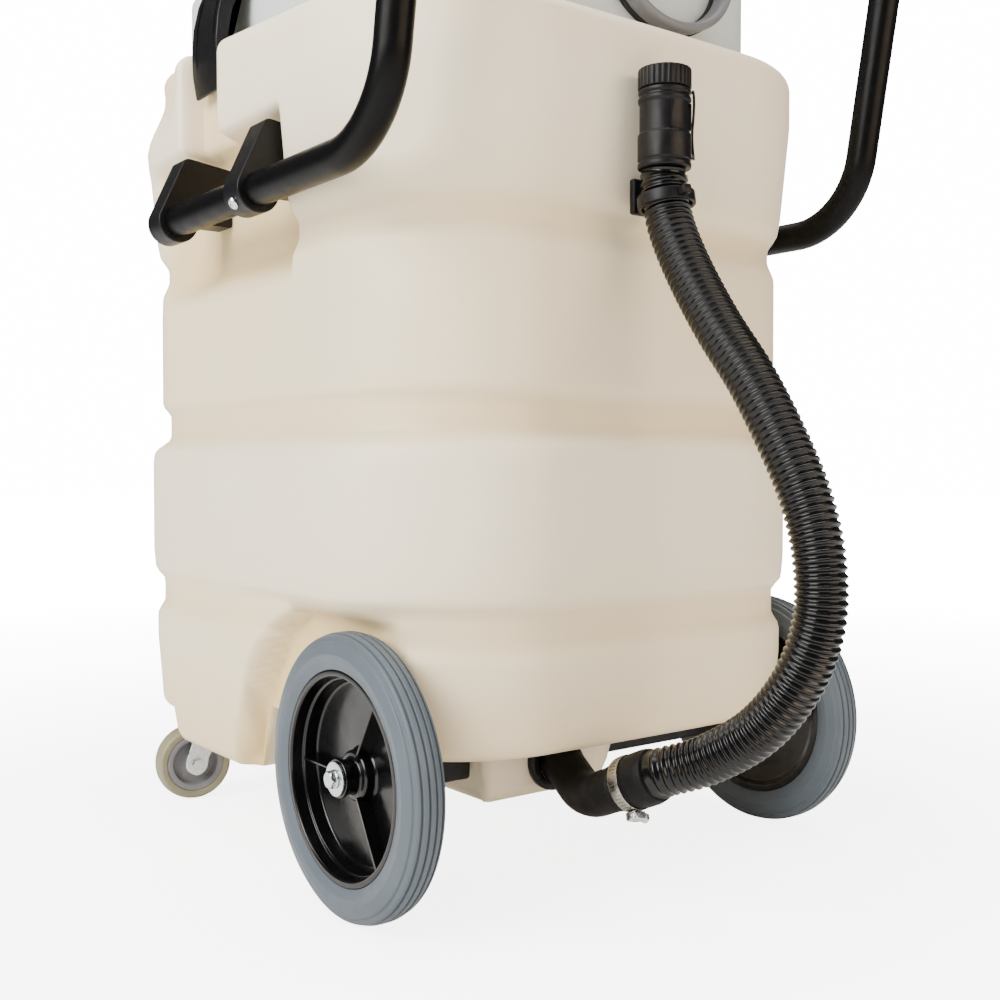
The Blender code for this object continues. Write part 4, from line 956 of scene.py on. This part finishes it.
def make_casters():
    """Turned races, cores and treads; the forks and wheels are swivelled 9 degrees."""
    for word, side in SIDES:
        turn = math.pi - math.radians(9) if side < 0 else math.radians(9)
        swivel = Matrix.Translation((side * CASTER_X, CASTER_Y, 0)) @ Matrix.Rotation(turn, 4, "Z")
        top = 0.1177
        plate = rounded(((0.006, top - 0.0139), (0.0185, top - 0.0139), (0.02, top - 0.011),
                (0.02, top - 0.006), (0.0215, top - 0.003), (0.03, top - 0.0028), (0.03, top - 0.0002),
                (0.006, top - 0.0002)), 0.0008, 3)
        place = Matrix.Translation((side * CASTER_X, CASTER_Y, 0))
        make_object(f"caster_race_{word}", moved(spun(plate, 64, False), place), zinc, "tank",
                "caster_plate_" + word, 40)
        make_object(f"caster_yoke_{word}", moved(fork_solid(), swivel), zinc, "caster_" + word,
                "caster_fork_" + word, 35)
        axle = swivel @ Matrix.Translation((TRAIL, 0, CASTER_R)) @ Matrix.Rotation(math.radians(-90), 4, "X")
        core = rounded(mm((4.4, -15), (10.5, -15), (11.2, -4.5), (24, -3), (26.2, -13), (32.6, -13.6),
                (32.6, 13.6), (26.2, 13), (24, 3), (11.2, 4.5), (10.5, 15), (4.4, 15)), 0.0008, 3, True)
        make_object(f"caster_hub_{word}", moved(spun(core, 96, True), axle), nylon_grey, "caster_wheel_"
                + word, "caster_core_" + word, 40)
        tread = rounded(mm((32.9, -13.8), (39.5, -14.5), (41.8, -11.5), (43.2, -5), (43.5, 0), (43.2, 5),
                (41.8, 11.5), (39.5, 14.5), (32.9, 13.8)), 0.0012, 3, True)
        make_object(f"caster_tyre_{word}", moved(spun(tread, 96, True), axle), tread_khaki, "caster_wheel_"
                + word, "caster_tread_" + word, 40)
        make_caster_bolt(word, axle)


def make_caster_bolt(word, axle):
    """A hexagon head on one side and a nut on the other, on an 8 mm bolt."""
    bolt = rounded(mm((6.2, -26.2), (6.5, -21.3), (4, -21.3), (4, 21.3), (6.5, 21.3), (6.2, 26.2)), 0.0003,
            2)
    solids = [spun(bolt, 6, False)]
    for end in (-1, 1):
        ring = rounded(((0.0042, end * 0.0211), (0.0078, end * 0.0211), (0.0078, end * 0.022),
                (0.0042, end * 0.022))[::end], 0.0002, 2, True)
        solids.append(spun(ring, 40, True))
    make_object(f"caster_bolt_{word}", moved(join(*solids), axle), zinc, "caster_" + word, "caster_axle_"
            + word, 25)


make_casters()

# ---------------------------------------------------------------- vacuum head
# A moulded pale grey base that sits on a gasket in the tank's rim, under a mid-grey motor cover.
# It carries the exhaust port, suction inlet, float, latches, switches and the power cord's gland.

pale_grey = plain_finish("pale_grey_moulded", "#c3cacb", "#ccd3d4", (0.36, 0.46), 8, 700, 0.0001)
mid_grey = plain_finish("mid_grey_moulded", "#67676c", "#737378", (0.34, 0.44), 10, 900, 0.00008)
gasket_foam = plain_finish("black_sponge_gasket", "#141414", "#1e1e1e", (0.7, 0.85), 40, 900, 0.00025)
float_white = plain_finish("white_float_plastic", "#dcdcd8", "#e6e6e2", (0.35, 0.5), 20, 900, 0.00005)
motor_steel = plain_finish("motor_housing_zinc", "#9a9c9e", "#aeb0b2", (0.3, 0.45), 30, 600, 0.00008, 1.0)
HEAD_IN, HEAD_FLOOR, HEAD_TOP = 0.046, 0.856, 0.93


def head_ring(plan, inset, height):
    """The plan moved in along its normals, at one height."""
    return np.column_stack([plan[:, :2] - plan[:, 2:] * inset, np.full(len(plan), height)])


def deck_ring(plan, inset, lift):
    """The plan moved in along its normals, lifted from the deck 10 mm below the rim."""
    flat = plan[:, :2] - plan[:, 2:] * inset
    return np.column_stack([flat, rim_z(flat[:, 1]) - 0.01 + lift])


def make_head_base(plan):
    """A wall that stands on the gasket, a rounded shoulder, the deck's opening and the inner floor
    with its round hole. A duct above the floor in its rear wall and a round hole in its front are cut."""
    skirt = HEAD_IN + 0.005
    rings = [deck_ring(plan, skirt - 0.001, 0.0033), deck_ring(plan, HEAD_IN + 0.0012, 0.0033),
            deck_ring(plan, HEAD_IN + 0.0003, 0.0036), deck_ring(plan, HEAD_IN, 0.0046)]
    for f in np.linspace(0, 1, 12)[1:]:
        ring = head_ring(plan, HEAD_IN, 0)
        low = deck_ring(plan, HEAD_IN, 0.0046)[:, 2]
        ring[:, 2] = low + (HEAD_TOP - 0.012 - low) * f
        rings.append(ring)
    for t in np.radians((15, 30, 45, 60, 75, 90)):
        rings.append(head_ring(plan, HEAD_IN + 0.012 * (1 - math.cos(t)), HEAD_TOP
                - 0.012 * (1 - math.sin(t))))
    for inset, height in ((0.0966, HEAD_TOP), (0.0976, HEAD_TOP - 0.0004), (0.098, HEAD_TOP - 0.0014),
            (0.098, HEAD_TOP - 0.0036), (0.097, HEAD_TOP - 0.004), (0.06, HEAD_TOP - 0.005),
            (skirt + 0.001, HEAD_TOP - 0.009), (skirt, HEAD_TOP - 0.012), (skirt, HEAD_FLOOR + 0.0055),
            (skirt + 0.0015, HEAD_FLOOR + 0.004)):
        rings.append(head_ring(plan, inset, height))
    turn = np.arctan2(plan[:, 1] - 0.035, plan[:, 0])
    for radius, height in ((0.049, HEAD_FLOOR + 0.004), (0.048, HEAD_FLOOR + 0.003),
            (0.048, HEAD_FLOOR + 0.001), (0.049, HEAD_FLOOR)):
        rings.append(np.column_stack([radius * np.cos(turn), 0.035 + radius * np.sin(turn), 0 * turn
                + height]))
    rings.append(head_ring(plan, skirt, HEAD_FLOOR))
    rings.append(deck_ring(plan, skirt, 0.0043))
    base = make_object("head_base_moulded", solid_of_rings(rings, True), pale_grey, "head", "head_base",
            40)
    t = np.arange(96) * 2 * math.pi / 96
    duct = [np.stack([0.047 + 0.045 * np.cos(t), 0 * t + REAR + HEAD_IN + d, 0.889 + 0.0235 * np.sin(t)],
            1) for d in (0.012, -0.012)]
    cutters = [solid_of_rings(duct, False), spun(((0.0225, 0.29), (0.0225, 0.32)), 64, False, (0, 0, 0.893),
            (0, 1, 0))]
    cutter = make_object("head_holes", join(*cutters), pale_grey, "head")
    cut = base.modifiers.new("holes", "BOOLEAN")
    cut.operation, cut.solver, cut.object = "DIFFERENCE", "EXACT", cutter
    bpy.context.view_layer.update()
    done = bpy.data.meshes.new_from_object(base.evaluated_get(bpy.context.evaluated_depsgraph_get()))
    base.modifiers.clear()
    base.data = done
    bpy.data.objects.remove(cutter)
    base.modifiers.new("even_faces", "WEIGHTED_NORMAL").keep_sharp = True
    gasket = [deck_ring(plan, inset, lift) for inset, lift in ((0.0626, 0.0004), (0.047, 0.0004),
            (0.0468, 0.0008), (0.0468, 0.0024), (0.0472, 0.003), (0.0626, 0.003))]
    make_object("gasket_sponge", solid_of_rings(gasket, True), gasket_foam, "head", "head_gasket",
            50)


def make_cover(plan):
    """A shallow dome: the wall rises, then a superellipse shoulder carries it over to the crown."""
    rings = [head_ring(plan, 0.0744, HEAD_TOP + 0.0004), head_ring(plan, 0.074, HEAD_TOP + 0.001),
            head_ring(plan, 0.074, HEAD_TOP + 0.006), head_ring(plan, 0.0752, HEAD_TOP + 0.0072),
            head_ring(plan, 0.0752, HEAD_TOP + 0.0084), head_ring(plan, 0.0742, HEAD_TOP + 0.0096)]
    for t in np.linspace(0, math.pi / 2, 16):
        rings.append(head_ring(plan, 0.0742 + 0.03 * (1 - math.cos(t) ** 0.8), 0.958
                + 0.0375 * math.sin(t)))
    middle = plan[:, :2] - plan[:, 2:] * 0.1042
    for f in (0.92, 0.8, 0.6, 0.4, 0.2, 0.001):
        flat = middle * (f, f) + (0, 0.035 * (1 - f))
        rings.append(np.column_stack([flat, np.full(len(plan), 0.9955 + 0.0022 * (1 - f**2))]))
    for f in (0.001, 0.5, 1.0):
        flat = middle * (f, f) + (0, 0.035 * (1 - f))
        rings.append(np.column_stack([flat, np.full(len(plan), 0.9905)]))
    for t in np.linspace(math.pi / 2, 0, 8)[1:]:
        rings.append(head_ring(plan, 0.0782 + 0.028 * (1 - math.cos(t)), 0.955 + 0.0355 * math.sin(t)))
    rings.append(head_ring(plan, 0.0782, HEAD_TOP + 0.0004))
    make_object("cover_domed", solid_of_rings(rings, True), mid_grey, "head", "motor_cover",
            45)


def oval(grow, y):
    """The exhaust port's outline at a depth: an ellipse 150 by 120 mm, grown by a margin."""
    t = np.arange(128) * 2 * math.pi / 128
    return np.stack([0.047 + (0.075 + grow) * np.cos(t), np.full(128, y), 0.868
            + (0.06 + grow) * np.sin(t)], 1)


def make_ports():
    """The exhaust port is rings of an oval; the inlet and the cord's gland are turned."""
    wall = REAR + HEAD_IN
    flange = rounded(mm((1, 0.3), (1, 5.8), (-10, 5.8), (-10, 0.3)), 0.0008, 3, True)
    make_object("port_gasket", solid_of_rings([oval(g, wall - d) for g, d in flange], True), gasket_foam,
            "head", "exhaust_gasket")
    lip = rounded(mm((0, 6.3), (0, 17), (0.2, 20.5), (-2, 23.5), (-6, 23.5), (-9.2, 20), (-9.5, 6.3)),
            (0.001, 0.001, 0.003, 0.003, 0.003, 0.003, 0.001), 5, True)
    make_object("port_lip", solid_of_rings([oval(g, wall - d) for g, d in lip], True), mid_grey, "head",
            "exhaust_port")
    front = FRONT - HEAD_IN + 0.0003
    spigot = rounded(mm((22.5, 0), (33, 0), (33, 3.8), (27.5, 5), (26.8, 12), (26.4, 38), (25.6, 39.5),
            (22.5, 39.5)), 0.0009, 3, True)
    solids = [spun(spigot, 80, True, (0, front, 0.893), (0, 1, 0))]
    for d in (0.016, 0.022, 0.028):
        ring = rounded(((0.0262, d), (0.0268, d + 0.0008), (0.0262, d + 0.0016)), 0.0003, 2, True)
        solids.append(spun(ring, 80, True, (0, front, 0.893), (0, 1, 0)))
    make_object("inlet_spigot", join(*solids), mid_grey, "head", "suction_inlet")
    gland = rounded(mm((3.6, 0.4), (9, 0.4), (9, 7), (7.8, 8.2), (7, 8.6), (6.2, 17.6), (3.6, 17.6)),
            0.0007, 3, True)
    make_object("gland_moulded", spun(gland, 48, True, (-0.085, wall, 0.885), (0, -1, 0)), cuff_black,
            "head", "cord_gland")


def make_float():
    """The cage's wall is a perforated drum: 12 posts between a flanged rim and a dished floor."""
    top, low = HEAD_FLOOR - 0.0003, HEAD_FLOOR - 0.1253
    upper = rounded(((0.032, top), (0.0385, top - 0.009), (0.0385, top - 0.022), (0.042, top - 0.022),
            (0.042, top - 0.004), (0.05, top - 0.004), (0.05, top)), 0.001, 3, True)
    lower = rounded(((0.018, low), (0.042, low), (0.042, low + 0.014), (0.039, low + 0.014),
            (0.039, low + 0.003), (0.018, low + 0.003)), 0.001, 3, True)
    solids = [spun(upper[::-1], 72, True, (0, 0.035, 0)), spun(lower, 72, True, (0, 0.035, 0))]
    for k in range(12):
        post = block((0.0388, -0.0035, low + 0.012), (0.0418, 0.0035, top - 0.02), 0.001, 2)
        solids.append(moved(post,
                Matrix.Translation((0, 0.035, 0)) @ Matrix.Rotation(math.radians(30 * k), 4, "Z")))
    make_object("cage_slotted", join(*solids), cuff_black, "head", "float_cage", 40)
    t = np.radians(np.linspace(-89, 89, 40))
    seam = 0.0003 * np.exp(-(t / 0.05) ** 2)
    ball = np.column_stack([(0.0236 + seam) * np.cos(t), 0.0236 * np.sin(t) + low + 0.003 + 0.0243])
    make_object("float_hollow_ball", spun(ball, 64, False, (0, 0.035, 0)), float_white, "float",
            "float_ball", 60)
    bottom = HEAD_FLOOR + 0.0043
    motor = rounded(((0.012, bottom), (0.064, bottom), (0.0658, bottom + 0.004), (0.0658, bottom + 0.036),
            (0.06, bottom + 0.041), (0.0485, bottom + 0.044), (0.048, bottom + 0.096),
            (0.042, bottom + 0.104), (0.03, bottom + 0.1115), (0.012, bottom + 0.1115)), 0.003, 4)
    make_object("motor_two_stage", spun(motor, 80, False, (0, 0.035, 0)), motor_steel, "head",
            "vacuum_motor", 40)


def make_latches():
    """A moulded arm: its outline in x and z is pushed 62 mm along y, and a rib runs down its middle."""
    arc = [(0.01 * math.cos(t), 0.01 * math.sin(t)) for t in np.radians(np.linspace(15, 175, 16))]
    corners = [(0.0145, -0.115), (0.022, -0.12), (0.0262, -0.095), (0.0272, -0.07), (0.025, -0.045),
            (0.0195, -0.02)] + arc
    corners += [(-0.009, -0.01), (0.007, -0.035), (0.0105, -0.055), (0.0145, -0.08)]
    outline = rounded(corners, 0.004, 4, True)
    rib_line = [(0.0215, -0.112), (0.0262, -0.093), (0.0284, -0.07), (0.0268, -0.045), (0.0215, -0.02),
            (0.01, -0.002), (0.006, -0.035), (0.012, -0.08)]
    for word, side in SIDES:
        pivot = Matrix.Translation((side * 0.24, 0.12, 0.9)) @ Matrix.Diagonal((side, 1, 1, 1))
        solids = [slab(outline, -0.031, 0.031, 0.0018, 3)]
        for mid in (-0.0205, 0.0205):
            solids.append(slab(rounded(rib_line, 0.005, 4, True), mid - 0.0035, mid + 0.0035, 0.0012, 2))
        points, faces = moved(moved(join(*solids), TO_Y), pivot)
        if side < 0:
            faces = [face[::-1] for face in faces]
        latch = make_object(f"latch_{word}_arm", (points, faces), cuff_black, "latch_" + word, "latch_"
                + word, 30)
        latch.modifiers.new("even_faces", "WEIGHTED_NORMAL").keep_sharp = True
        wall = HALF_WIDTH - HEAD_IN + 0.0003 - 0.24
        cheeks = [block((wall, -0.0365, -0.012), (0.008, -0.0315, 0.012), 0.0012, 3),
                block((wall, 0.0315, -0.012), (0.008, 0.0365, 0.012), 0.0012, 3),
                block((wall, -0.033, -0.0118), (wall + 0.0028, 0.033, 0.0118), 0.0006, 2)]
        points, faces = moved(join(*cheeks), pivot)
        if side < 0:
            faces = [face[::-1] for face in faces]
        make_object(f"latch_fork_{word}", (points, faces), cuff_black, "head", "latch_mount_" + word,
                30)
        pin = rounded(mm((2.2, -37), (3, -36.2), (3, 36.2), (2.2, 37)), 0.0003, 2)
        make_object(f"pin_{word}", spun(pin, 32, False, (side * 0.24, 0.12, 0.9), (0, 1, 0)), zinc, "head",
                "latch_pin_" + word)


def make_switches():
    """The frame is four bars and a divider; each rocker is a prism with a dished top."""
    x0, x1, y0, z0 = -0.105, -0.035, REAR + HEAD_IN + 0.0125, HEAD_TOP + 0.0003
    bars = [((x0, y0, z0), (x1, y0 + 0.0022, z0 + 0.003)), ((x0, y0 + 0.0128, z0),
            (x1, y0 + 0.015, z0 + 0.003)), ((x0, y0 + 0.001, z0), (-0.0986, y0 + 0.014, z0 + 0.003)),
            ((-0.0754, y0 + 0.001, z0), (-0.0646, y0 + 0.014, z0 + 0.003)), ((-0.0414, y0 + 0.001, z0),
            (x1, y0 + 0.014, z0 + 0.003)), ((x0, y0 + 0.001, z0), (x1, y0 + 0.014, z0 + 0.0006))]
    item = make_object("switch_bezel", join(*[block(low, high, 0.0005, 2) for low, high in bars]),
            cuff_black, "head", "switch_frame", 30)
    t = np.linspace(-1, 1, 9)
    top = [(0.0104 * v, 0.0008 + 0.0013 * v * v) for v in t[::-1]]
    outline = [(-0.0083, -0.003), (-0.004, -0.0043), (0.004, -0.0043), (0.0083, -0.003)] + top
    for k, x in enumerate((-0.087, -0.053)):
        place = Matrix.Translation((x, y0 + 0.0075, z0 + 0.0062)) @ Matrix.Rotation(math.radians(-9), 4, "Y")
        solid = moved(moved(slab(outline, -0.0046, 0.0046, 0.0005, 2), TO_Y), place)
        make_object(f"rocker_{k + 1}_dished", solid, cuff_black, f"rocker_{k + 1}",
                f"rocker_switch_{k + 1}", 30)


head_plan = both_halves(plan_half(8, 24, stations((-0.122, 0.231, 16)), 18, 8))
make_head_base(head_plan)
make_cover(head_plan)
make_ports()
make_float()
make_latches()
make_switches()
